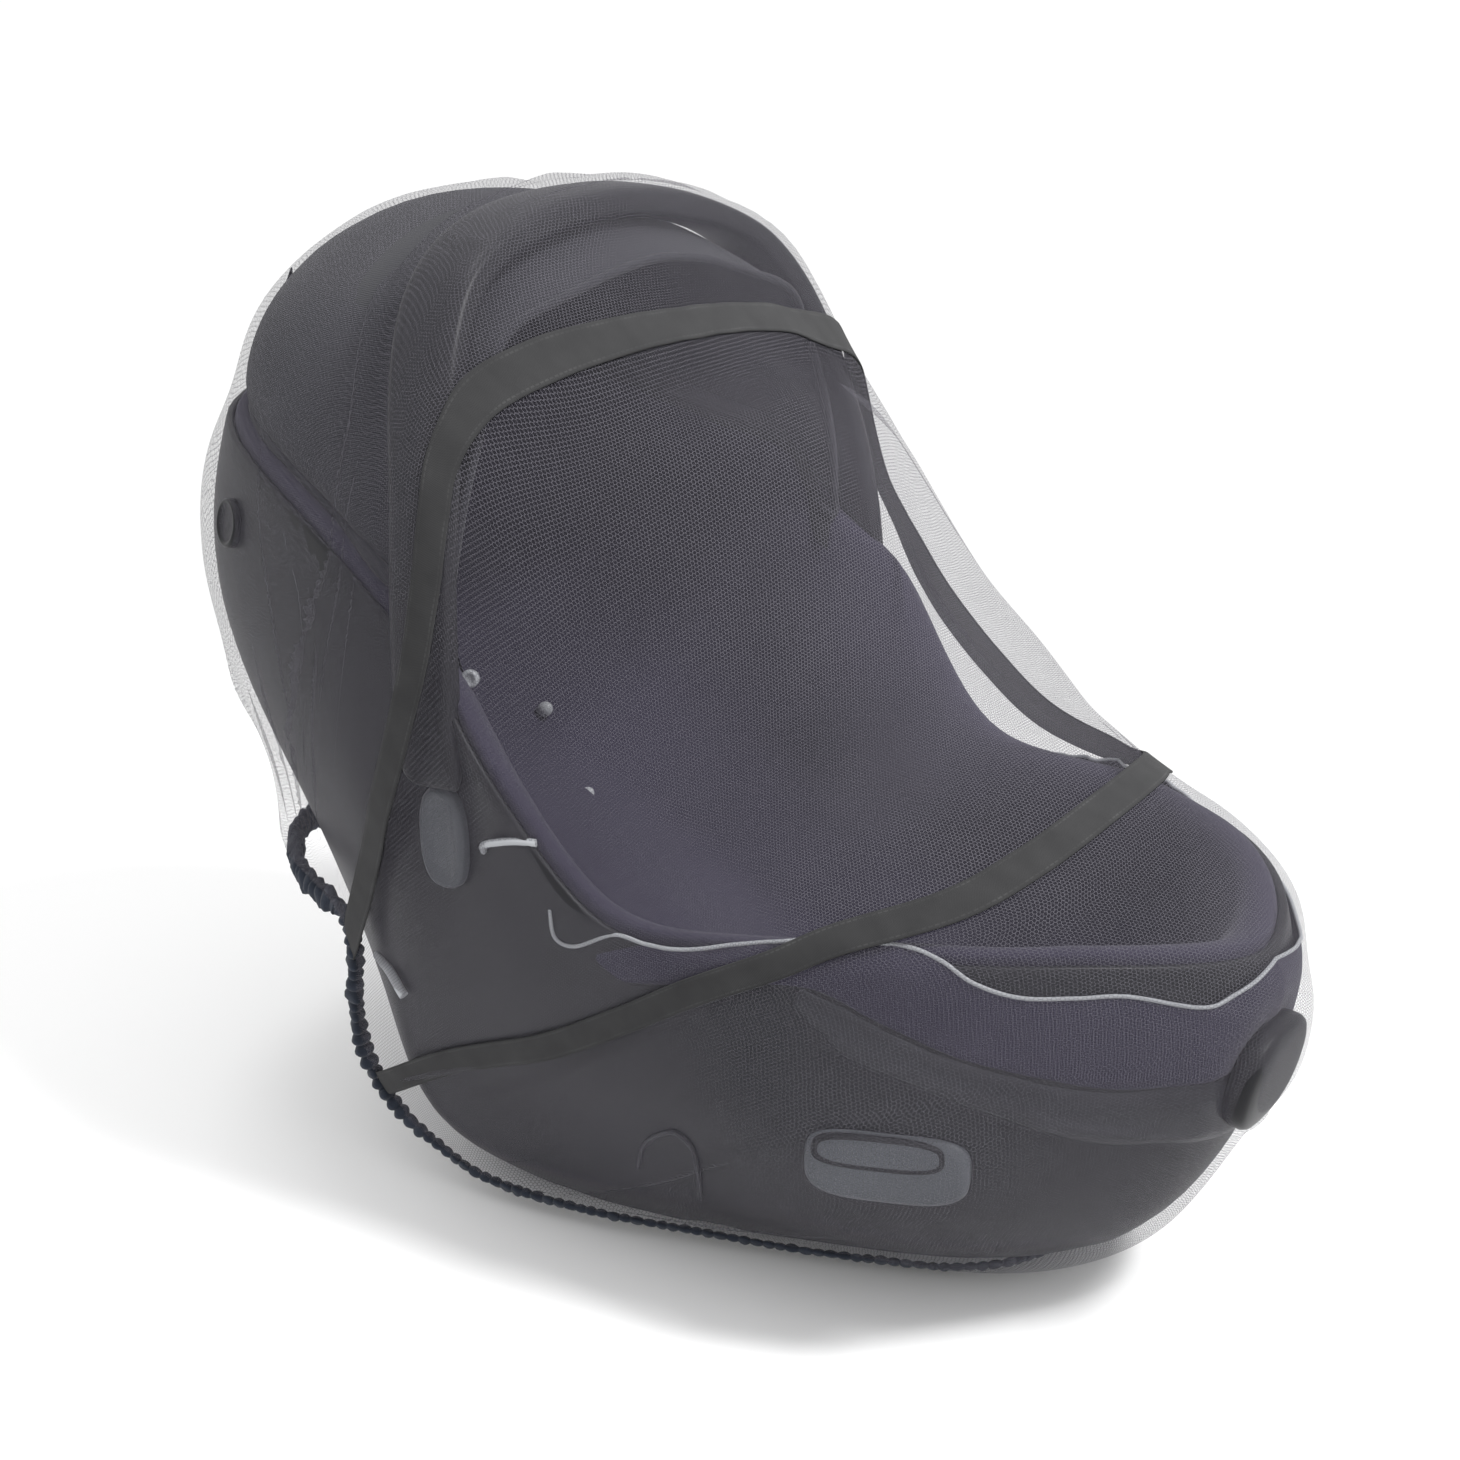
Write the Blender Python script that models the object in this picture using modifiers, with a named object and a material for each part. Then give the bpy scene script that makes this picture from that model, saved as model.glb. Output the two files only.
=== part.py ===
"""Mosquito net fitted over an infant car seat.

Metres, +Z up. The seat stands on z = 0 with its foot end toward -Y and its head end toward +Y.
The near side, which carries the long end of the front panel, is -X.
"""
import math

import bmesh
import bpy
import numpy as np
from mathutils import Vector
from mathutils.bvhtree import BVHTree

NAME = "mosquito_net"

# Inner point from which the whole net can be seen, used to describe it by direction and distance.
HEART = np.array((0.0, 0.0, 0.16))

SHELL_WALL = 0.005
LINER_GAP = 0.0004
LINER_TOP = 0.006
CANOPY_WALL = 0.003
CANOPY_GAP = 0.0011
HANDLE_WIDTH = 0.044
HANDLE_THICK = 0.015
HUB_RADIUS = 0.031
HUB_THICK = 0.014
NET_CLEARANCE = 0.0033
NET_THICK = 0.0012
TAPE_WIDTH = 0.017
TAPE_LIFT = 0.0021
TAPE_THICK = 0.0011
SEAM_GAP = 0.0006
TAPE_MARGIN = 0.009
HEM_HEIGHT = 0.012
HEM_THICK = 0.007
HEM_GAP = 0.0005
HEM_REST = 0.0008
HEM_GRIP = 0.009

# Half outlines of the seat shell from the foot end round to the head end: (x, y, z).
SHELL_RIM = (
    (0.0, -0.332, 0.222), (0.05, -0.315, 0.228), (0.098, -0.272, 0.234), (0.128, -0.232, 0.234),
    (0.155, -0.175, 0.232), (0.178, -0.105, 0.224), (0.19, -0.04, 0.226), (0.194, 0.025, 0.305),
    (0.19, 0.1, 0.372), (0.172, 0.2, 0.415), (0.115, 0.31, 0.442), (0.0, 0.35, 0.45),
)
SHELL_SHOULDER = (
    (0.0, -0.334, 0.185), (0.052, -0.317, 0.185), (0.102, -0.274, 0.185), (0.135, -0.232, 0.182),
    (0.16, -0.172, 0.178), (0.18, -0.1, 0.17), (0.188, -0.035, 0.172), (0.191, 0.03, 0.215),
    (0.189, 0.1, 0.262), (0.176, 0.195, 0.31), (0.122, 0.316, 0.345), (0.0, 0.367, 0.355),
)
SHELL_WAIST = (
    (0.0, -0.322, 0.14), (0.05, -0.307, 0.135), (0.1, -0.265, 0.13), (0.135, -0.22, 0.12),
    (0.158, -0.16, 0.112), (0.173, -0.09, 0.108), (0.18, -0.03, 0.11), (0.182, 0.035, 0.12),
    (0.178, 0.095, 0.14), (0.165, 0.165, 0.18), (0.115, 0.27, 0.24), (0.0, 0.345, 0.27),
)
SHELL_BELLY = (
    (0.0, -0.281, 0.042), (0.042, -0.268, 0.042), (0.08, -0.232, 0.042), (0.105, -0.182, 0.04),
    (0.122, -0.125, 0.038), (0.138, -0.06, 0.036), (0.15, 0.0, 0.036), (0.158, 0.055, 0.036),
    (0.16, 0.1, 0.042), (0.146, 0.15, 0.06), (0.09, 0.21, 0.095), (0.0, 0.25, 0.12),
)
SHELL_FOOT = (
    (0.0, -0.2, 0.0), (0.028, -0.189, 0.0), (0.05, -0.165, 0.0), (0.068, -0.136, 0.0),
    (0.084, -0.1, 0.0), (0.103, -0.055, 0.0), (0.116, -0.01, 0.0), (0.125, 0.035, 0.0),
    (0.125, 0.075, 0.0), (0.112, 0.11, 0.0), (0.072, 0.135, 0.0), (0.0, 0.145, 0.0),
)
# Half outlines of the seating surface inside the rim.
SEAT_SIDE = (
    (0.0, -0.272, 0.172), (0.045, -0.26, 0.168), (0.085, -0.225, 0.158), (0.105, -0.185, 0.15),
    (0.122, -0.13, 0.142), (0.134, -0.065, 0.138), (0.138, -0.01, 0.145), (0.138, 0.04, 0.17),
    (0.133, 0.095, 0.205), (0.12, 0.165, 0.255), (0.08, 0.245, 0.31), (0.0, 0.284, 0.338),
)
SEAT_BOTTOM = (
    (0.0, -0.2, 0.125), (0.035, -0.19, 0.121), (0.06, -0.165, 0.112), (0.075, -0.13, 0.102),
    (0.087, -0.088, 0.092), (0.093, -0.045, 0.086), (0.094, -0.005, 0.086), (0.091, 0.035, 0.093),
    (0.084, 0.078, 0.112), (0.072, 0.12, 0.138), (0.044, 0.165, 0.176), (0.0, 0.186, 0.196),
)
SEAT_DEEPEST = (0.0, -0.035, 0.079)

# Hood arches: y, height of the crown above the floor, squareness of the arch.
CANOPY_ARCHES = (
    (0.03, 0.455, 2.6),
    (0.05, 0.498, 2.6),
    (0.084, 0.532, 2.5),
    (0.13, 0.548, 2.4),
    (0.18, 0.554, 2.3),
    (0.23, 0.558, 2.2),
    (0.27, 0.555, 2.1),
    (0.3, 0.54, 2.0),
    (0.325, 0.506, 2.0),
    (0.345, 0.47, 2.0),
)
CANOPY_FRONT = 0.026
CANOPY_INSET = 0.012
CANOPY_STEPS = 22

# Half of the carrying handle from above the hub to the crown: (x, y, z).
HANDLE_PATH = (
    (0.2035, 0.058, 0.2834), (0.203, 0.06, 0.33), (0.196, 0.066, 0.39), (0.182, 0.074, 0.44),
    (0.163, 0.085, 0.486), (0.142, 0.096, 0.522), (0.115, 0.104, 0.545), (0.06, 0.109, 0.561),
    (0.0, 0.11, 0.5665),
)
HUB_PLACE = (0.192, 0.058, 0.252)
GUIDE_PLACE = (0.15, -0.2, 0.122)
GUIDE_SIZE = (0.085, 0.04, 0.013)
CAP_PLACE = (0.0, -0.342, 0.165)
CAP_SIZE = (0.062, 0.044, 0.011)
MOUNT_GAP = 0.0005

# Edge of the net where its gathered hem starts, clockwise from the foot end seen from above.
HEM_EDGE = (
    (0.0, -0.237, 0.0175), (-0.044, -0.223, 0.017), (-0.073, -0.196, 0.0165),
    (-0.091, -0.162, 0.0165), (-0.109, -0.123, 0.0165), (-0.13, -0.065, 0.0165),
    (-0.152, 0.0, 0.0165), (-0.166, 0.065, 0.019), (-0.172, 0.103, 0.032), (-0.178, 0.132, 0.052),
    (-0.182, 0.149, 0.08), (-0.183, 0.154, 0.11), (-0.182, 0.153, 0.15), (-0.181, 0.163, 0.176),
    (-0.177, 0.187, 0.184), (-0.168, 0.211, 0.187), (-0.15, 0.235, 0.188), (-0.12, 0.268, 0.182),
    (-0.075, 0.299, 0.172), (0.0, 0.313, 0.168), (0.075, 0.299, 0.172), (0.12, 0.268, 0.176),
    (0.156, 0.222, 0.178), (0.178, 0.178, 0.158), (0.181, 0.149, 0.1), (0.172, 0.103, 0.034),
    (0.164, 0.065, 0.019), (0.15, 0.0, 0.0165), (0.13, -0.065, 0.0165), (0.109, -0.123, 0.0165),
    (0.091, -0.162, 0.0165), (0.073, -0.196, 0.0165), (0.044, -0.223, 0.017),
)

# Line of the tape round the front panel: place, point, and the share of the hem it faces.
TAPE_LINE = (
    ("low end at the hem", (-0.178, 0.132, 0.070), 0.0),
    ("near side, low", (-0.189, 0.072, 0.106), 0.035),
    ("near side, low", (-0.193, -0.007, 0.144), 0.12),
    ("near side, low", (-0.191, -0.060, 0.176), 0.18),
    ("near side, low", (-0.188, -0.103, 0.204), 0.22),
    ("near rim", (-0.174, -0.144, 0.226), 0.26),
    ("near rim", (-0.159, -0.173, 0.243), 0.285),
    ("across the foot end", (-0.124, -0.217, 0.261), 0.315),
    ("across the foot end", (-0.087, -0.239, 0.277), 0.335),
    ("across the foot end", (-0.031, -0.251, 0.292), 0.36),
    ("across the foot end", (0.022, -0.249, 0.294), 0.385),
    ("far corner", (0.075, -0.236, 0.283), 0.41),
    ("far corner", (0.125, -0.208, 0.258), 0.44),
    ("far corner", (0.157, -0.170, 0.245), 0.47),
    ("far side, rising", (0.168, -0.112, 0.252), 0.51),
    ("far side, rising", (0.172, -0.065, 0.280), 0.54),
    ("far side, rising", (0.184, -0.014, 0.318), 0.58),
    ("far side, rising", (0.205, 0.023, 0.345), 0.605),
    ("far side, rising", (0.217, 0.048, 0.373), 0.63),
    ("far side, rising", (0.214, 0.060, 0.407), 0.65),
    ("far side, rising", (0.200, 0.060, 0.445), 0.67),
    ("far shoulder", (0.158, 0.044, 0.478), 0.7),
    ("across the hood", (0.111, 0.032, 0.491), 0.73),
    ("across the hood", (0.030, 0.018, 0.506), 0.775),
    ("across the hood", (-0.061, 0.027, 0.508), 0.82),
    ("across the hood", (-0.120, 0.040, 0.500), 0.85),
    ("near shoulder", (-0.164, 0.050, 0.486), 0.875),
    ("near side, falling", (-0.192, 0.052, 0.459), 0.895),
    ("near side, falling", (-0.204, 0.048, 0.431), 0.91),
    ("near side, falling", (-0.215, 0.046, 0.392), 0.925),
    ("near side, falling", (-0.222, 0.053, 0.345), 0.94),
    ("near side, falling", (-0.220, 0.079, 0.281), 0.96),
    ("near side, falling", (-0.208, 0.110, 0.228), 0.98),
    ("high end at the hem", (-0.182, 0.153, 0.152), 1.0),
)
PANEL_HEART = (-0.17, -0.09, 0.31)
HEM_END = 0.022
PULL_DOWN = 0.45
DRAPE_ROWS = (18, 36, 72)
DRAPE_TURNS = 700
GRID_LEAN = math.atan2(0.11, 0.4065)

# Folds: start, middle, end, height and half width of the ridge.
FOLDS = (
    ((-0.15, 0.12, 0.5), (-0.19, 0.13, 0.34), (-0.18, 0.155, 0.17), 0.005, 0.012),
    ((-0.17, 0.17, 0.44), (-0.19, 0.17, 0.32), (-0.18, 0.175, 0.2), 0.005, 0.012),
    ((-0.15, 0.24, 0.42), (-0.17, 0.22, 0.32), (-0.165, 0.205, 0.22), 0.004, 0.012),
    ((-0.2, 0.06, 0.2), (-0.195, 0.1, 0.16), (-0.175, 0.13, 0.1), 0.004, 0.011),
    ((-0.19, -0.1, 0.16), (-0.18, 0.02, 0.11), (-0.165, 0.11, 0.062), 0.004, 0.012),
    ((-0.17, -0.17, 0.1), (-0.165, -0.02, 0.07), (-0.15, 0.08, 0.04), 0.003, 0.011),
)

COLUMNS_PER_SPAN = 2
TAPE_COLUMNS = 74
BODY_ROWS = 16
PANEL_ROWS = 20
HEM_SECTIONS = 6
FIT_TURNS = 30
FIT_BLENDS = 16

COLOURS = {
    "seat_shell": (0.045, 0.046, 0.052),
    "seat_liner": (0.035, 0.034, 0.045),
    "seat_canopy": (0.03, 0.03, 0.036),
    "carry_handle": (0.05, 0.05, 0.055),
    "handle_hub": (0.16, 0.165, 0.175),
    "belt_guide": (0.12, 0.125, 0.135),
    "foot_cap": (0.06, 0.06, 0.066),
    "net_body": (0.3, 0.3, 0.31),
    "net_panel": (0.42, 0.42, 0.43),
    "panel_tape": (0.05, 0.05, 0.05),
    "hem_binding": (0.02, 0.025, 0.04),
}


def catmull(p0, p1, p2, p3, t):
    """Point on the smooth curve from p1 to p2."""
    a = 2.0 * p1
    b = p2 - p0
    c = 2.0 * p0 - 5.0 * p1 + 4.0 * p2 - p3
    d = 3.0 * p1 - p0 - 3.0 * p2 + p3
    return 0.5 * (a + b * t + c * t * t + d * t ** 3)


def smooth_curve(points, per_span, closed=False):
    """Smooth curve through the points, with the same number of steps in each span."""
    points = np.asarray(points, float)
    spans = len(points) if closed else len(points) - 1
    if closed:
        padded = np.concatenate((points[-1:], points, points[:2]))
    else:
        first = 2.0 * points[:1] - points[1:2]
        last = 2.0 * points[-1:] - points[-2:-1]
        padded = np.concatenate((first, points, last))
    samples = []
    for span in range(spans):
        for step in range(per_span):
            t = step / per_span
            samples.append(catmull(*padded[span:span + 4], t))
    if not closed:
        samples.append(points[-1])
    return np.array(samples)


def resample(points, count, closed=False):
    """The same curve with evenly spaced samples."""
    track = np.concatenate((points, points[:1])) if closed else points
    steps = np.linalg.norm(np.diff(track[:, :3], axis=0), axis=1)
    distance = np.concatenate(([0.0], np.cumsum(steps)))
    wanted = np.linspace(0.0, distance[-1], count, endpoint=not closed)
    return np.stack([np.interp(wanted, distance, track[:, k]) for k in range(track.shape[1])], axis=-1)


def unit(vectors):
    """Vectors scaled to length one."""
    return vectors / np.linalg.norm(vectors, axis=-1, keepdims=True)


def hoop(half):
    """Full smooth loop from a half outline, mirrored across x = 0."""
    half = np.array(half)
    mirrored = half[-2:0:-1] * np.array((-1.0, 1.0, 1.0))
    return smooth_curve(np.concatenate((half, mirrored)), COLUMNS_PER_SPAN, closed=True)


def rows_between(hoops, per_span):
    """Rows of a surface that runs smoothly from the first hoop to the last."""
    return smooth_curve(np.array(hoops), per_span)


def link(name, bm, colour_key):
    """Turn a bmesh into an object of its own, with its own material."""
    mesh = bpy.data.meshes.new(name)
    bm.to_mesh(mesh)
    bm.free()
    part = bpy.data.objects.new(name, mesh)
    collection.objects.link(part)
    material = bpy.data.materials.new(name)
    material.use_nodes = True
    shader = material.node_tree.nodes["Principled BSDF"]
    shader.inputs["Base Color"].default_value = (*COLOURS[colour_key], 1.0)
    shader.inputs["Roughness"].default_value = 0.7
    mesh.materials.append(material)
    return part


def add_rows(bm, rows, closed, split=False):
    """Add a grid of quads, or of triangles all split the same way, and return its vertices."""
    grid = [[bm.verts.new(point) for point in row] for row in rows]
    width = len(grid[0])
    for upper, lower in zip(grid, grid[1:]):
        for k in range(width if closed else width - 1):
            n = (k + 1) % width
            if split:
                bm.faces.new((upper[k], upper[n], lower[n]))
                bm.faces.new((upper[k], lower[n], lower[k]))
            else:
                bm.faces.new((upper[k], upper[n], lower[n], lower[k]))
    return grid


def face_out(bm):
    """Turn an open sheet so that its faces look away from the inside of the seat."""
    bm.normal_update()
    total = 0.0
    for face in bm.faces:
        total += face.normal.dot(face.calc_center_median() - Vector(HEART)) * face.calc_area()
    if total < 0.0:
        bmesh.ops.reverse_faces(bm, faces=bm.faces)


def thicken(part, thickness, outward, even=True):
    """Give a sheet its thickness."""
    wall = part.modifiers.new("thickness", "SOLIDIFY")
    wall.thickness = thickness
    wall.offset = 1.0 if outward else -1.0
    wall.use_even_offset = even
    wall.thickness_clamp = 0.0


def soften(part, width, segments):
    """Round the edges of a block."""
    edge = part.modifiers.new("rounding", "BEVEL")
    edge.width = width
    edge.segments = segments
    edge.limit_method = "ANGLE"
    edge.angle_limit = math.radians(30.0)


def make_shell(rows):
    """Moulded shell with a flat foot."""
    bm = bmesh.new()
    grid = add_rows(bm, rows, closed=True, split=True)
    bm.faces.new(grid[-1])
    bmesh.ops.recalc_face_normals(bm, faces=bm.faces)
    face_out(bm)
    shell = link("seat_shell", bm, "seat_shell")
    normals = np.array([vertex.normal for vertex in shell.data.vertices])
    thicken(shell, SHELL_WALL, outward=False, even=False)
    return shell, normals.reshape(rows.shape)


def make_liner(rows, normals):
    """Padded liner that fills the shell and leaves the space for the baby."""
    under = rows - normals * (SHELL_WALL + LINER_GAP)
    toward = -unit(under[0] * np.array((1.0, 0.15, 0.0)))
    lift = np.array((0.0, 0.0, 1.0))
    crest = under[0] + toward * 0.003 + lift * LINER_TOP
    lip = under[0] + toward * 0.022 + lift * (LINER_TOP - 0.002)
    seat = rows_between((lip, hoop(SEAT_SIDE), hoop(SEAT_BOTTOM)), 3)
    bm = bmesh.new()
    outside = add_rows(bm, under, closed=True, split=True)
    top = add_rows(bm, np.concatenate((crest[None], seat)), closed=True)
    width = len(top[0])
    for k in range(width):
        n = (k + 1) % width
        bm.faces.new((outside[0][k], outside[0][n], top[0][n], top[0][k]))
    bm.faces.new(outside[-1])
    deepest = bm.verts.new(SEAT_DEEPEST)
    for k in range(width):
        n = (k + 1) % width
        bm.faces.new((top[-1][k], top[-1][n], deepest))
    bmesh.ops.recalc_face_normals(bm, faces=bm.faces)
    return link("seat_liner", bm, "seat_liner"), crest


def make_canopy(crest):
    """Hood that stands on the liner's crest, from the visor edge back to the head end."""
    table = np.array(CANOPY_ARCHES)
    side = crest[(crest[:, 0] > 0.03) & (crest[:, 1] > CANOPY_FRONT)]
    side = side[np.argsort(side[:, 1])]
    arches = []
    turn = np.linspace(0.0, math.pi, CANOPY_STEPS + 1)
    for reach_out, y, base in side:
        half_width = reach_out - CANOPY_INSET
        crown = np.interp(y, table[:, 0], table[:, 1])
        squareness = np.interp(y, table[:, 0], table[:, 2])
        foot = base + CANOPY_GAP
        x = half_width * np.sign(np.cos(turn)) * np.abs(np.cos(turn)) ** (2.0 / squareness)
        z = foot + (crown - foot) * np.sin(turn) ** (2.0 / squareness)
        arches.append(np.stack((x, np.full_like(x, y), z), axis=-1))
    bm = bmesh.new()
    add_rows(bm, smooth_curve(np.array(arches), 1), closed=False)
    face_out(bm)
    canopy = link("seat_canopy", bm, "seat_canopy")
    thicken(canopy, CANOPY_WALL, outward=True)
    return canopy


def make_handle():
    """Carrying handle swept over the hood, flat across its width."""
    half = np.array(HANDLE_PATH)
    full = np.concatenate((half, half[-2::-1] * np.array((-1.0, 1.0, 1.0))))
    path = resample(smooth_curve(full, 6), 31)
    along = unit(np.gradient(path, axis=0))
    wide = np.array((0.0, 1.0, 0.0)) - along * along[:, 1:2]
    wide = unit(wide)
    high = np.cross(along, wide)
    corner = 0.005
    outline = []
    for sx, sy, start in ((1, 1, 0), (-1, 1, 90), (-1, -1, 180), (1, -1, 270)):
        for degrees in (10, 80):
            turn = math.radians(start + degrees)
            across = sx * (HANDLE_WIDTH / 2 - corner) + corner * math.cos(turn)
            up = sy * (HANDLE_THICK / 2 - corner) + corner * math.sin(turn)
            outline.append((across, up))
    rings = []
    for k in range(len(path)):
        rings.append([path[k] + wide[k] * a + high[k] * b for a, b in outline])
    bm = bmesh.new()
    grid = add_rows(bm, np.array(rings), closed=True)
    bm.faces.new(grid[0])
    bm.faces.new(grid[-1])
    bmesh.ops.recalc_face_normals(bm, faces=bm.faces)
    return link("carry_handle", bm, "carry_handle")


def seat_on(part, shell, place, thickness):
    """Lay a part's flat back on the shell at the given place, just clear of it."""
    bpy.context.view_layer.update()
    found, spot, normal, _ = shell.closest_point_on_mesh(Vector(place))
    if place[0] == 0.0:
        normal = Vector((0.0, normal.y, normal.z)).normalized()
    part.rotation_euler = normal.to_track_quat("Z", "Y").to_euler()
    part.location = spot + normal * (thickness / 2 + MOUNT_GAP)


def make_hub(shell, side, name):
    """Round hub that the handle ends on."""
    bm = bmesh.new()
    bmesh.ops.create_cone(bm, cap_ends=True, segments=28, radius1=HUB_RADIUS, radius2=HUB_RADIUS,
                          depth=HUB_THICK)
    hub = link(name, bm, "handle_hub")
    seat_on(hub, shell, (side * HUB_PLACE[0], HUB_PLACE[1], HUB_PLACE[2]), HUB_THICK)
    soften(hub, 0.002, 1)
    return hub


def make_block(shell, name, colour_key, place, size):
    """Rounded block on the outside of the shell."""
    bm = bmesh.new()
    bmesh.ops.create_cube(bm, size=1.0)
    bmesh.ops.scale(bm, vec=size, verts=bm.verts)
    block = link(name, bm, colour_key)
    seat_on(block, shell, place, size[2])
    soften(block, 0.004, 2)
    return block


def solid_seat_tree(parts):
    """Search tree over every finished seat part."""
    bpy.context.view_layer.update()
    graph = bpy.context.evaluated_depsgraph_get()
    points = []
    faces = []
    for part in parts:
        shaped = part.evaluated_get(graph)
        mesh = shaped.to_mesh()
        start = len(points)
        points.extend(part.matrix_world @ vertex.co for vertex in mesh.vertices)
        faces.extend([start + index for index in polygon.vertices] for polygon in mesh.polygons)
        shaped.to_mesh_clear()
    return BVHTree.FromPolygons(points, faces), np.array(points)


def reach(tree, directions):
    """Distance from the heart to the outermost seat surface in each direction."""
    flat = directions.reshape(-1, 3)
    result = np.zeros(len(flat))
    for k, direction in enumerate(flat):
        start = HEART + direction
        hit = tree.ray_cast(Vector(start), Vector(-direction), 1.0)
        if hit[0] is not None:
            result[k] = 1.0 - hit[3]
    return result.reshape(directions.shape[:-1])


def inside(outline, points):
    """Which flat points lie inside a closed flat outline."""
    result = np.zeros(len(points), bool)
    x, y = points[:, 0], points[:, 1]
    for (x1, y1), (x2, y2) in zip(outline, np.roll(outline, -1, axis=0)):
        crossing = (y1 > y) != (y2 > y)
        if y1 != y2:
            result ^= crossing & (x < (x2 - x1) * (y - y1) / (y2 - y1) + x1)
    return result


def flattened(directions):
    """Directions laid flat round the one that points straight down."""
    tilt = np.arctan2(np.hypot(directions[..., 0], directions[..., 1]), -directions[..., 2])
    heading = np.arctan2(directions[..., 1], directions[..., 0])
    return np.stack((tilt * np.cos(heading), tilt * np.sin(heading)), axis=-1)


def leaned(directions, lean):
    """Directions turned about the X axis, from upright toward the head end."""
    x, y, z = np.moveaxis(directions, -1, 0)
    return np.stack((x, y * math.cos(lean) + z * math.sin(lean),
                     z * math.cos(lean) - y * math.sin(lean)), axis=-1)


def sphere_grid(rows):
    """Directions of a grid round the crown of the handle, its two poles left out."""
    drop = (np.arange(1, rows) * math.pi / rows)[:, None]
    heading = (np.arange(2 * rows) * math.pi / rows)[None, :]
    upright = np.stack((np.sin(drop) * np.cos(heading), np.sin(drop) * np.sin(heading),
                        np.cos(drop) * np.ones_like(heading)), axis=-1)
    return leaned(upright, GRID_LEAN)


def sampled(grid, directions):
    """Value between the nodes of a grid over all directions."""
    rows = len(grid) + 1
    full = np.concatenate((np.full((1, 2 * rows), grid[0].mean()), grid,
                           np.full((1, 2 * rows), grid[-1].mean())))
    upright = leaned(directions, -GRID_LEAN)
    heading = np.arctan2(upright[..., 1], upright[..., 0]) % (2 * math.pi)
    drop = np.arctan2(np.hypot(upright[..., 0], upright[..., 1]), upright[..., 2])
    row = drop / math.pi * rows
    column = heading / math.pi * rows
    low = np.minimum(row.astype(int), rows - 1)
    left = column.astype(int) % (2 * rows)
    right = (left + 1) % (2 * rows)
    down = row - low
    across = column - np.floor(column)
    upper = full[low, left] * (1 - across) + full[low, right] * across
    lower = full[low + 1, left] * (1 - across) + full[low + 1, right] * across
    return upper * (1 - down) + lower * down


class Drape:
    """Taut net over the seat, held at the hem, as a distance for each direction."""

    def __init__(self, tree):
        self.ring = resample(smooth_curve(HEM_EDGE, 8, closed=True), 1440, closed=True)
        self.probes = sphere_grid(2 * DRAPE_ROWS[-1])
        self.seat_reach = reach(tree, self.probes)
        ring_direction = unit(self.ring - HEART)
        ring_distance = np.linalg.norm(self.ring - HEART, axis=1)
        outline = flattened(ring_direction[::8])
        in_mouth = inside(outline, flattened(self.probes.reshape(-1, 3)))
        self.seat_reach[in_mouth.reshape(self.seat_reach.shape)] = 0.0
        grid = None
        for rows in DRAPE_ROWS:
            directions = sphere_grid(rows)
            step = (self.probes.shape[0] + 1) // rows
            least = np.zeros(directions.shape[:2])
            spread = max(1, step // 2)
            for down in range(-spread, spread + 1):
                picked = np.clip(np.arange(1, rows) * step - 1 + down, 0, len(self.probes) - 1)
                for turn in range(-spread, spread + 1):
                    columns = (np.arange(2 * rows) * step + turn) % self.probes.shape[1]
                    least = np.maximum(least, self.seat_reach[np.ix_(picked, columns)])
            least = np.where(least > 0.01, least + NET_CLEARANCE, 0.0)
            flat = directions.reshape(-1, 3)
            nearest = np.concatenate([np.argmax(block @ ring_direction.T, axis=1)
                                      for block in np.array_split(flat, 16)])
            cosine = np.sum(flat * ring_direction[nearest], axis=1)
            held = (np.arccos(np.clip(cosine, -1, 1)) < 0.8 * math.pi / rows)
            held = held.reshape(least.shape)
            hem = ring_distance[nearest].reshape(least.shape)
            radius = np.maximum(least, 0.25) if grid is None else sampled(grid, directions)
            for _ in range(DRAPE_TURNS):
                points = directions * radius[..., None]
                top = np.broadcast_to(points[0].mean(axis=0), points[:1].shape)
                bottom = np.broadcast_to(points[-1].mean(axis=0), points[:1].shape)
                above = np.concatenate((top, points[:-1]))
                below = np.concatenate((points[1:], bottom))
                around = np.roll(points, 1, axis=1) + np.roll(points, -1, axis=1)
                mean = (1.0 - PULL_DOWN) / 2 * around + PULL_DOWN / 2 * (above + below)
                relaxed = np.sum(mean * directions, axis=-1)
                radius = np.maximum(radius + 0.9 * (relaxed - radius), least)
                radius[held] = hem[held]
            grid = radius
        self.grid = grid

    def distance(self, directions):
        """Distance of the plain net in the given unit directions."""
        return sampled(self.grid, directions)

    def point(self, directions):
        """Points on the inner face of the net, folds included."""
        plain = HEART + directions * self.distance(directions)[..., None]
        rise = np.zeros(plain.shape[:-1])
        for start, middle, end, height, half_width in FOLDS:
            ridge = resample(smooth_curve((start, middle, end), 8), 25)
            gap = np.linalg.norm(plain[..., None, :] - ridge, axis=-1)
            nearest = np.argmin(gap, axis=-1)
            taper = np.sin(math.pi * (nearest + 1) / 26.0) ** 0.5
            rise += height * taper * np.exp(-(gap.min(axis=-1) / half_width) ** 2)
        return plain + directions * rise[..., None]


def between(first, last, share):
    """Direction part of the way along the arc from one direction to another."""
    angle = np.arccos(np.clip(np.sum(first * last, axis=-1, keepdims=True), -1.0, 1.0))
    return (np.sin((1 - share) * angle) * first + np.sin(share * angle) * last) / np.sin(angle)


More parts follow.
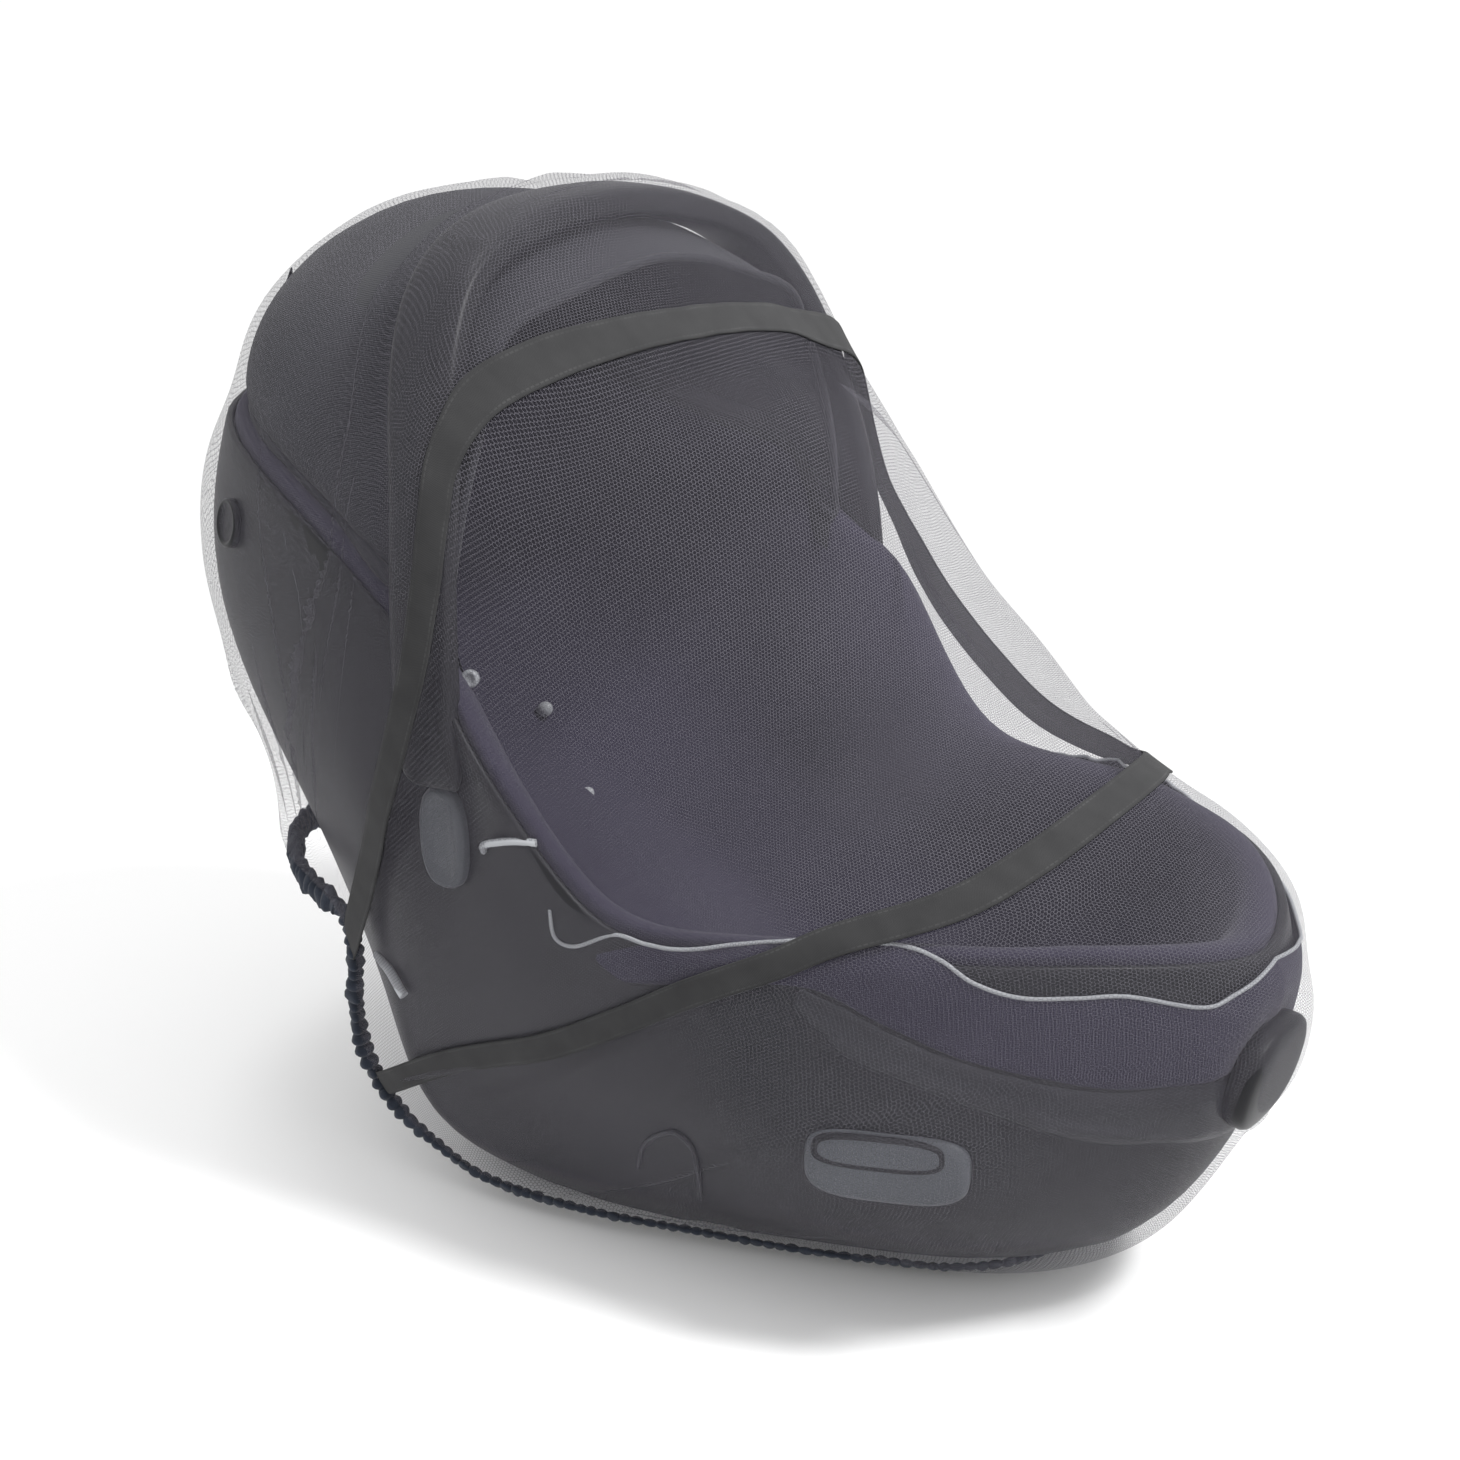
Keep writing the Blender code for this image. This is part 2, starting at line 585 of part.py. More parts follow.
def tape_layout(drape):
    """Directions of the tape line, its outward side, and the hem point each column faces."""
    points = np.array([row[1] for row in TAPE_LINE])
    ring = drape.ring
    for end in (0, -1):
        points[end] = ring[np.argmin(np.linalg.norm(ring - points[end], axis=1))]
    shares = np.array([row[2] for row in TAPE_LINE])
    line = smooth_curve(np.concatenate((points, shares[:, None]), axis=1), 8)
    line = resample(line, TAPE_COLUMNS)
    direction = unit(line[:, :3] - HEART)
    surface = HEART + direction * drape.distance(direction)[:, None]
    along = unit(np.gradient(surface, axis=0))
    outward = unit(np.cross(along, direction))
    heart = unit(np.array(PANEL_HEART) - HEART)
    if np.sum(outward * (direction - heart)) < 0.0:
        outward = -outward
    for end in (0, -1):
        nearest = int(np.argmin(np.linalg.norm(ring - points[end], axis=1)))
        along_hem = unit(ring[(nearest + 8) % len(ring)] - ring[nearest - 8])
        outward[end] = along_hem * np.sign(np.dot(along_hem, outward[end]))
    return direction, outward, line[:, 3]


def hem_points(ring, low_end, high_end, share):
    """Points of the net's edge from the low end of the panel round to its high end."""
    low = int(np.argmin(np.linalg.norm(unit(ring - HEART) - low_end, axis=1)))
    high = int(np.argmin(np.linalg.norm(unit(ring - HEART) - high_end, axis=1)))
    length = np.linalg.norm(np.roll(ring, -1, axis=0) - ring, axis=1).sum()
    end = int(HEM_END / length * len(ring))
    start = low - end
    stop = high + end
    while stop < start:
        stop += len(ring)
    stop -= len(ring)
    position = start + share * (stop - start)
    index = np.round(position).astype(int) % len(ring)
    panel = np.linspace(low, high, PANEL_ROWS + 1).round().astype(int)[1:-1] % len(ring)
    return ring[index], ring[panel]


def grid_faces(numbers, closed=False):
    """Triangles of a grid of vertex numbers, all split the same way."""
    faces = []
    rows, columns = numbers.shape
    for r in range(rows - 1):
        for c in range(columns if closed else columns - 1):
            n = (c + 1) % columns
            faces.append((numbers[r, c], numbers[r, n], numbers[r + 1, n]))
            faces.append((numbers[r, c], numbers[r + 1, n], numbers[r + 1, c]))
    return faces


def net_pieces(drape):
    """Points and faces of the net body and of the front panel, which share columns at the tape."""
    direction, outward, share = tape_layout(drape)
    radius = drape.distance(direction)[:, None]
    hem_edge, panel_edge = hem_points(drape.ring, direction[0], direction[-1], share)
    hem = unit(hem_edge - HEART)

    def shifted(width):
        return unit(direction + outward * width / radius)

    body = [shifted(SEAM_GAP / 2), shifted(TAPE_MARGIN)]
    for step in range(1, BODY_ROWS + 1):
        body.append(between(body[1], hem, (step / BODY_ROWS) ** 1.2))
    body = drape.point(np.array(body))
    body[-1] = hem_edge
    numbers = np.arange(body[..., 0].size).reshape(body.shape[:2])
    body = (body.reshape(-1, 3), grid_faces(numbers), numbers)

    count = len(direction)
    seam = np.concatenate((shifted(-SEAM_GAP / 2), unit(panel_edge - HEART)[::-1]))
    inward = unit(np.array(PANEL_HEART) - HEART)
    margin = np.concatenate((shifted(-TAPE_MARGIN), unit(seam[count:] + (inward - seam[count:]) * 0.09)))
    edges = drape.point(np.array((seam, margin)))
    edges[0, count:] = panel_edge[::-1]
    width = len(seam)
    numbers = np.arange(2 * width).reshape(2, width)
    faces = grid_faces(numbers, closed=True)
    points = [edges.reshape(-1, 3)]
    rungs = [np.concatenate(([width], np.arange(2 * width - 1, width + count - 2, -1)))]
    for k in range(1, count // 2):
        steps = np.linspace(0.0, 1.0, PANEL_ROWS + 1)[1:-1, None]
        rung = drape.point(between(margin[k][None], margin[count - 1 - k][None], steps))
        start = sum(len(block) for block in points)
        points.append(rung)
        rungs.append(np.concatenate(([width + k], start + np.arange(len(rung)),
                                     [width + count - 1 - k])))
    faces += grid_faces(np.array(rungs))
    return body, (np.concatenate(points), faces, numbers)


def fit(drape, seat_points, body, panel):
    """Ease the coarse net outward wherever its flat faces would come too near the seat."""
    probes = drape.probes.reshape(-1, 3)
    wanted = drape.seat_reach.reshape(-1)
    keep = wanted > 0.01
    probes = probes[keep]
    wanted = wanted[keep] + NET_CLEARANCE
    start = np.concatenate((body[0], panel[0]))
    faces = body[1] + [tuple(len(body[0]) + corner for corner in face) for face in panel[1]]
    outermost = sampled(drape.grid, unit(seat_points - HEART))
    near_points = seat_points[np.linalg.norm(seat_points - HEART, axis=1) > outermost - 0.02]
    corners = np.array(faces)
    pairs = np.concatenate((corners[:, (0, 1)], corners[:, (1, 2)], corners[:, (2, 0)]))
    pairs = np.concatenate((pairs, pairs[:, ::-1]))
    neighbours = np.bincount(pairs[:, 0], minlength=len(start))
    held = np.concatenate((body[2][-1], body[2][:, 0], body[2][:, -1],
                           len(body[0]) + panel[2][0, body[2].shape[1]:]))
    scale = np.ones(len(start))
    for turn in range(FIT_TURNS):
        if turn < FIT_BLENDS:
            around = np.bincount(pairs[:, 0], scale[pairs[:, 1]], len(start)) / neighbours
            around[held] = scale[held]
            scale = 0.5 * (scale + around)
        points = HEART + (start - HEART) * scale[:, None]
        tree = BVHTree.FromPolygons([Vector(point) for point in points], faces)
        push = np.zeros(len(start))
        for probe, least in zip(probes, wanted):
            hit = tree.ray_cast(Vector(HEART), Vector(probe), 1.0)
            if hit[0] is None or hit[3] >= least:
                continue
            share = least / hit[3] - 1.0
            for corner in faces[hit[2]]:
                push[corner] = max(push[corner], share)
        for point in near_points:
            spot, normal, index, gap = tree.find_nearest(Vector(point), NET_CLEARANCE)
            if spot is None:
                continue
            slant = max(0.35, abs(normal.dot((spot - Vector(HEART)).normalized())))
            share = (NET_CLEARANCE - gap) / slant / np.linalg.norm(point - HEART)
            for corner in faces[index]:
                push[corner] = max(push[corner], share)
        if turn >= FIT_BLENDS and push.max() < 0.0005:
            break
        scale = scale * (1.0 + push)
    for _ in range(2):
        around = np.bincount(pairs[:, 0], scale[pairs[:, 1]], len(start)) / neighbours
        scale = np.maximum(scale, around)
    points = HEART + (start - HEART) * scale[:, None]
    return points[:len(body[0])], points[len(body[0]):]


def make_net(name, points, faces):
    """Sheet of net over the given points."""
    bm = bmesh.new()
    corners = [bm.verts.new(point) for point in points]
    for face in faces:
        bm.faces.new([corners[k] for k in face])
    bmesh.ops.recalc_face_normals(bm, faces=bm.faces)
    face_out(bm)
    part = link(name, bm, name)
    thicken(part, NET_THICK, outward=True, even=False)


def make_tape(body, panel):
    """Flat tape that covers the seam between the panel and the body."""
    count = body.shape[1]
    share = (TAPE_WIDTH - SEAM_GAP) / (2 * TAPE_MARGIN - SEAM_GAP)
    inner_seam = panel[0, :count]
    inner_edge = inner_seam + (panel[1, :count] - inner_seam) * share
    outer_seam = body[0]
    outer_edge = outer_seam + (body[1] - outer_seam) * share
    rows = np.array((inner_edge, inner_seam, outer_seam, outer_edge))
    along = np.gradient(rows.mean(axis=0), axis=0)
    normal = unit(np.cross(along, outer_edge - inner_edge))
    if np.sum(normal * (outer_seam - HEART)) < 0.0:
        normal = -normal
    rows = rows + normal * TAPE_LIFT
    bm = bmesh.new()
    add_rows(bm, rows[1::-1], closed=False, split=True)
    add_rows(bm, rows[1:3], closed=False, split=True)
    add_rows(bm, rows[2:], closed=False, split=True)
    bmesh.ops.remove_doubles(bm, verts=bm.verts, dist=1e-6)
    bmesh.ops.recalc_face_normals(bm, faces=bm.faces)
    face_out(bm)
    part = link("panel_tape", bm, "panel_tape")
    thicken(part, TAPE_THICK, outward=True)
    return part


def make_hem(body, panel, tree):
    """Gathered elastic binding along the whole edge of the net, drawn in against the shell."""
    count = body.shape[1]
    edge = np.concatenate((body[:, 0], body[-1, 1:-1], body[::-1, -1], panel[0, count:]))
    edge = resample(edge, 100, closed=True)
    along = unit(np.roll(edge, -1, axis=0) - np.roll(edge, 1, axis=0))
    outward = unit(edge - HEART)
    down = unit(np.cross(along, outward))
    if np.sum(down[:, 2]) > 0.0:
        down = -down
    across = unit(np.cross(along, down))
    centre = edge + down * (HEM_HEIGHT / 2 + HEM_GAP) + outward * NET_THICK / 2
    rings = []
    for k in range(len(centre)):
        ring = []
        for j in range(HEM_SECTIONS):
            turn = 2 * math.pi * (j + 0.5) / HEM_SECTIONS
            ring.append(centre[k] + down[k] * math.cos(turn) * HEM_HEIGHT / 2
                        + across[k] * math.sin(turn) * HEM_THICK / 2)
        rings.append(ring)
    rings = np.array(rings)
    draw = np.zeros(centre.shape)
    for k, ring in enumerate(rings):
        spot = tree.find_nearest(Vector(centre[k]))[0]
        gap = min(tree.find_nearest(Vector(point))[3] for point in ring)
        hold = min(1.0, max(0.0, 2.0 - 2.0 * gap / HEM_GRIP))
        pull = unit(np.array(spot) - centre[k])
        pull = pull - down[k] * min(0.0, pull.dot(down[k]))
        draw[k] = pull * (gap - HEM_REST) * hold
    rings = rings + draw[:, None]
    bm = bmesh.new()
    grid = [[bm.verts.new(point) for point in ring] for ring in rings]
    for k in range(len(grid)):
        following = grid[(k + 1) % len(grid)]
        for j in range(HEM_SECTIONS):
            n = (j + 1) % HEM_SECTIONS
            bm.faces.new((grid[k][j], grid[k][n], following[n], following[j]))
    bmesh.ops.recalc_face_normals(bm, faces=bm.faces)
    return link("hem_binding", bm, "hem_binding")


def build():
    """Build the seat, then the net that fits over it."""
    shell_rows = rows_between((hoop(SHELL_RIM), hoop(SHELL_SHOULDER), hoop(SHELL_WAIST),
                               hoop(SHELL_BELLY), hoop(SHELL_FOOT)), 2)
    shell, normals = make_shell(shell_rows)
    liner, crest = make_liner(shell_rows, normals)
    seat = [shell, liner, make_canopy(crest), make_handle()]
    for side, word in ((-1, "near"), (1, "far")):
        seat.append(make_hub(shell, side, "handle_hub_" + word))
        place = (side * GUIDE_PLACE[0], GUIDE_PLACE[1], GUIDE_PLACE[2])
        seat.append(make_block(shell, "belt_guide_" + word, "belt_guide", place, GUIDE_SIZE))
    seat.append(make_block(shell, "foot_cap", "foot_cap", CAP_PLACE, CAP_SIZE))
    tree, seat_points = solid_seat_tree(seat)
    drape = Drape(tree)
    body, panel = net_pieces(drape)
    body_points, panel_points = fit(drape, seat_points, body, panel)
    make_net("net_body", body_points, body[1])
    make_net("net_panel", panel_points, panel[1])
    body = body_points[body[2]]
    panel = panel_points[panel[2]]
    make_tape(body, panel)
    make_hem(body, panel, tree)


for old in list(bpy.data.objects):
    bpy.data.objects.remove(old)
collection = bpy.data.collections.new(NAME)
bpy.context.scene.collection.children.link(collection)
build()
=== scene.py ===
"""Looks of a sheer mosquito net stretched over an infant car seat."""
import math

import bmesh
import bpy
import numpy as np
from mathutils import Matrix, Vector
from mathutils.bvhtree import BVHTree


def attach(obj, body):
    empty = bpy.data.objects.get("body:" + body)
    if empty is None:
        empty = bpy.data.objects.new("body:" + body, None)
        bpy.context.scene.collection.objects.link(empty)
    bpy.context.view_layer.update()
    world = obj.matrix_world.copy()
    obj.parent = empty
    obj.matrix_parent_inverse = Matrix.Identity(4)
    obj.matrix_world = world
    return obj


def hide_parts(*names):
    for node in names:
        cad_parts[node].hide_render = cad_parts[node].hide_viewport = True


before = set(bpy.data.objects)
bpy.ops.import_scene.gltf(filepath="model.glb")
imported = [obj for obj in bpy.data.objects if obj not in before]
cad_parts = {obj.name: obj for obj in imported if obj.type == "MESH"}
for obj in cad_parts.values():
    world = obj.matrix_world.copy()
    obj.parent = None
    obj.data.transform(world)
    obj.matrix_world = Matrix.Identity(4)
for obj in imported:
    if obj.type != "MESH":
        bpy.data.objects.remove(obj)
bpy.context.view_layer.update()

# Inner point from which the whole net can be seen, used to describe it by direction and distance.
HEART = np.array((0.0, 0.0, 0.16))
GRID_LEAN = math.atan2(0.11, 0.4065)
GRID_ROWS = 150
GRID_BLUR = 4
# Room between the net and what it lies on: the CAD seat, and the seat filled out to the net.
NET_CLEARANCE = 0.0026
SEAT_GAP = 0.0022
HANDLE_GAP = 0.003
TRIM_GAP = 0.0018
# Further room for the liner's edge that hangs over the shell at the foot end.
OVERHANG = 0.0032

TAPE_COLUMNS = 741
BODY_ROWS = 132
PANEL_ROWS = 120
SEAM_GAP = 0.0006
TAPE_WIDTH = 0.0155
TAPE_THICK = 0.0011
# Length of hem that meets the body beyond each end of the tape.
HEM_END = 0.022
TULLE_PITCH = 0.0021
HEM_SAMPLES = 2600
GATHER = 0.0072
TUBE_ROUNDING = 2
BOSS_SIDES = 48

# Line of the tape round the front panel: point, and the share of the hem it faces.
TAPE_LINE = (
    ((-0.178, 0.132, 0.070), 0.0), ((-0.189, 0.072, 0.106), 0.035),
    ((-0.193, -0.007, 0.144), 0.12), ((-0.191, -0.060, 0.176), 0.18),
    ((-0.188, -0.103, 0.204), 0.22), ((-0.174, -0.144, 0.226), 0.26),
    ((-0.159, -0.173, 0.243), 0.285), ((-0.124, -0.217, 0.261), 0.315),
    ((-0.087, -0.239, 0.277), 0.335), ((-0.031, -0.251, 0.292), 0.36),
    ((0.022, -0.249, 0.294), 0.385), ((0.075, -0.236, 0.283), 0.41),
    ((0.125, -0.208, 0.258), 0.44), ((0.157, -0.170, 0.245), 0.47),
    ((0.168, -0.112, 0.252), 0.51), ((0.172, -0.065, 0.280), 0.54),
    ((0.184, -0.014, 0.318), 0.58), ((0.205, 0.023, 0.345), 0.605),
    ((0.217, 0.048, 0.373), 0.63), ((0.214, 0.060, 0.407), 0.65),
    ((0.200, 0.060, 0.445), 0.67), ((0.158, 0.044, 0.478), 0.7),
    ((0.111, 0.032, 0.491), 0.73), ((0.030, 0.018, 0.506), 0.775),
    ((-0.061, 0.027, 0.508), 0.82), ((-0.120, 0.040, 0.500), 0.85),
    ((-0.164, 0.050, 0.486), 0.875), ((-0.192, 0.052, 0.459), 0.895),
    ((-0.204, 0.048, 0.431), 0.91), ((-0.215, 0.046, 0.392), 0.925),
    ((-0.222, 0.053, 0.345), 0.94), ((-0.220, 0.079, 0.281), 0.96),
    ((-0.208, 0.110, 0.228), 0.98), ((-0.182, 0.153, 0.152), 1.0),
)
PANEL_HEART = (-0.17, -0.09, 0.31)
# How far around the tape line, and around each other mark, the net is drawn in, as an angle.
TAPE_SPREAD = 0.09
MARK_SPREAD = 0.12
# Rise of the net beside the tape where the tape turns it on the far side.
TILT = 0.006

# Further points the net passes: crest over the handle, and the sag before and behind it.
NET_MARKS = (
    (-0.115, 0.125, 0.559), (-0.083, 0.106, 0.572), (-0.025, 0.114, 0.58), (0.021, 0.094, 0.58),
    (0.113, -0.019, 0.438), (0.117, -0.036, 0.416), (0.111, -0.059, 0.394), (0.106, -0.081, 0.375),
    (0.118, -0.141, 0.308), (0.081, -0.235, 0.268), (0.086, -0.302, 0.233), (0.008, -0.309, 0.074),
    (-0.085, 0.297, 0.504), (-0.136, 0.319, 0.365), (-0.137, 0.319, 0.339), (-0.14, 0.307, 0.316),
    (-0.172, 0.224, 0.187),
)

# Edge of the net where its gathered hem starts, clockwise from the foot end seen from above.
HEM_EDGE = (
    (0.0, -0.237, 0.0175), (-0.044, -0.223, 0.017), (-0.073, -0.196, 0.0165),
    (-0.091, -0.162, 0.0165), (-0.109, -0.123, 0.0165), (-0.13, -0.065, 0.0165),
    (-0.152, 0.0, 0.0165), (-0.166, 0.065, 0.019), (-0.172, 0.103, 0.032), (-0.178, 0.132, 0.052),
    (-0.182, 0.149, 0.08), (-0.183, 0.154, 0.11), (-0.182, 0.153, 0.15), (-0.181, 0.163, 0.176),
    (-0.177, 0.187, 0.184), (-0.168, 0.211, 0.187), (-0.15, 0.235, 0.188), (-0.12, 0.268, 0.182),
    (-0.075, 0.299, 0.172), (0.0, 0.313, 0.168), (0.075, 0.299, 0.172), (0.12, 0.268, 0.176),
    (0.156, 0.222, 0.178), (0.178, 0.178, 0.158), (0.181, 0.149, 0.1), (0.172, 0.103, 0.034),
    (0.164, 0.065, 0.019), (0.15, 0.0, 0.0165), (0.13, -0.065, 0.0165), (0.109, -0.123, 0.0165),
    (0.091, -0.162, 0.0165), (0.073, -0.196, 0.0165), (0.044, -0.223, 0.017),
)

# Edge of the liner along the shell's rim, on the near side.
PIPING = (
    (-0.191, -0.018, 0.228), (-0.191, -0.02, 0.213), (-0.19, -0.032, 0.211), (-0.188, -0.055, 0.223),
    (-0.179, -0.072, 0.22), (-0.176, -0.093, 0.222), (-0.166, -0.119, 0.229), (-0.148, -0.15, 0.234),
    (-0.137, -0.189, 0.238), (-0.133, -0.208, 0.235), (-0.131, -0.23, 0.227), (-0.119, -0.249, 0.22),
    (-0.101, -0.272, 0.219), (-0.083, -0.29, 0.218), (-0.054, -0.314, 0.208), (-0.035, -0.324, 0.211),
    (0.0, -0.327, 0.217),
)
OVERHANG_START = ((-0.19, -0.03, 0.19), (-0.185, -0.08, 0.2))
BAND_TOP = (
    (-0.164, -0.154, 0.214), (-0.152, -0.191, 0.201), (-0.139, -0.222, 0.188), (-0.119, -0.254, 0.178),
    (-0.088, -0.286, 0.167), (-0.06, -0.309, 0.166), (-0.034, -0.323, 0.165), (0.0, -0.327, 0.165),
)
BAND_FOOT = (
    (-0.166, -0.15, 0.204), (-0.158, -0.176, 0.182), (-0.148, -0.205, 0.173), (-0.126, -0.244, 0.157),
    (-0.088, -0.278, 0.137), (-0.057, -0.3, 0.13), (-0.035, -0.31, 0.125), (0.0, -0.316, 0.124),
)
SHELL_ARCH = (
    (-0.163, -0.048, 0.073), (-0.171, -0.059, 0.094), (-0.175, -0.074, 0.109), (-0.175, -0.085, 0.113),
    (-0.171, -0.092, 0.104), (-0.161, -0.088, 0.084), (-0.147, -0.078, 0.056),
)
LIGHT_ARC = (
    (-0.192, 0.026, 0.249), (-0.193, 0.014, 0.255), (-0.193, -0.001, 0.261),
    (-0.192, -0.012, 0.263),
)
LEVER = ((-0.167, 0.144, 0.144), (-0.174, 0.122, 0.149), (-0.177, 0.106, 0.149), (-0.178, 0.094, 0.142))
SNAPS = ((-0.179, 0.051, 0.338), (0.043, 0.201, 0.227), (0.039, 0.162, 0.176))

# Moulded fittings, from their foot to their crown: how far in from the outline, and how high.
HUB_LEVELS = ((0.001, -0.004), (0.0, 0.0), (0.0, 0.0095), (0.0007, 0.0112), (0.0022, 0.0122),
              (0.0042, 0.0124), (0.005, 0.0115), (0.0122, 0.0112))
GUIDE_LEVELS = ((0.0, -0.006), (0.0, 0.003), (0.0009, 0.0056), (0.003, 0.0072), (0.0065, 0.008),
                (0.012, 0.0084), (0.0185, 0.0085))
SLOT_LEVELS = ((0.0, -0.003), (0.0, 0.0016), (0.0012, 0.0022), (0.0026, 0.0014), (0.004, 0.0004),
               (0.0085, 0.0))
BUTTON_LEVELS = ((0.0, -0.004), (0.0, 0.0012), (0.0008, 0.0022), (0.0025, 0.0022), (0.0034, 0.001),
                 (0.012, 0.0008))
CAP_LEVELS = ((0.001, -0.006), (0.0, -0.001), (0.0, 0.0035), (0.0012, 0.0058), (0.004, 0.0072),
              (0.009, 0.0082), (0.018, 0.0086))
SNAP_LEVELS = ((0.0, -0.003), (0.0, 0.001), (0.001, 0.002), (0.002, 0.002), (0.0028, 0.001),
               (0.0045, 0.001))

# Lamps: name, place, power. Camera: what it looks at, degrees round and up, and distance.
LAMPS = (("key", (0.3, -1.5, 2.4), 380.0), ("top", (0.2, 0.5, 2.8), 60.0))
CAMERA_TARGET = (0.0, 0.013, 0.266)
CAMERA_TURN = -53.0
CAMERA_RISE = 20.0
CAMERA_DISTANCE = 1.215

# Swells of the liner's bolsters on the far side: place, reach, height.
LOBES = (
    ((0.185, 0.02, 0.3), 0.03, 0.012), ((0.183, -0.035, 0.255), 0.03, 0.008),
)

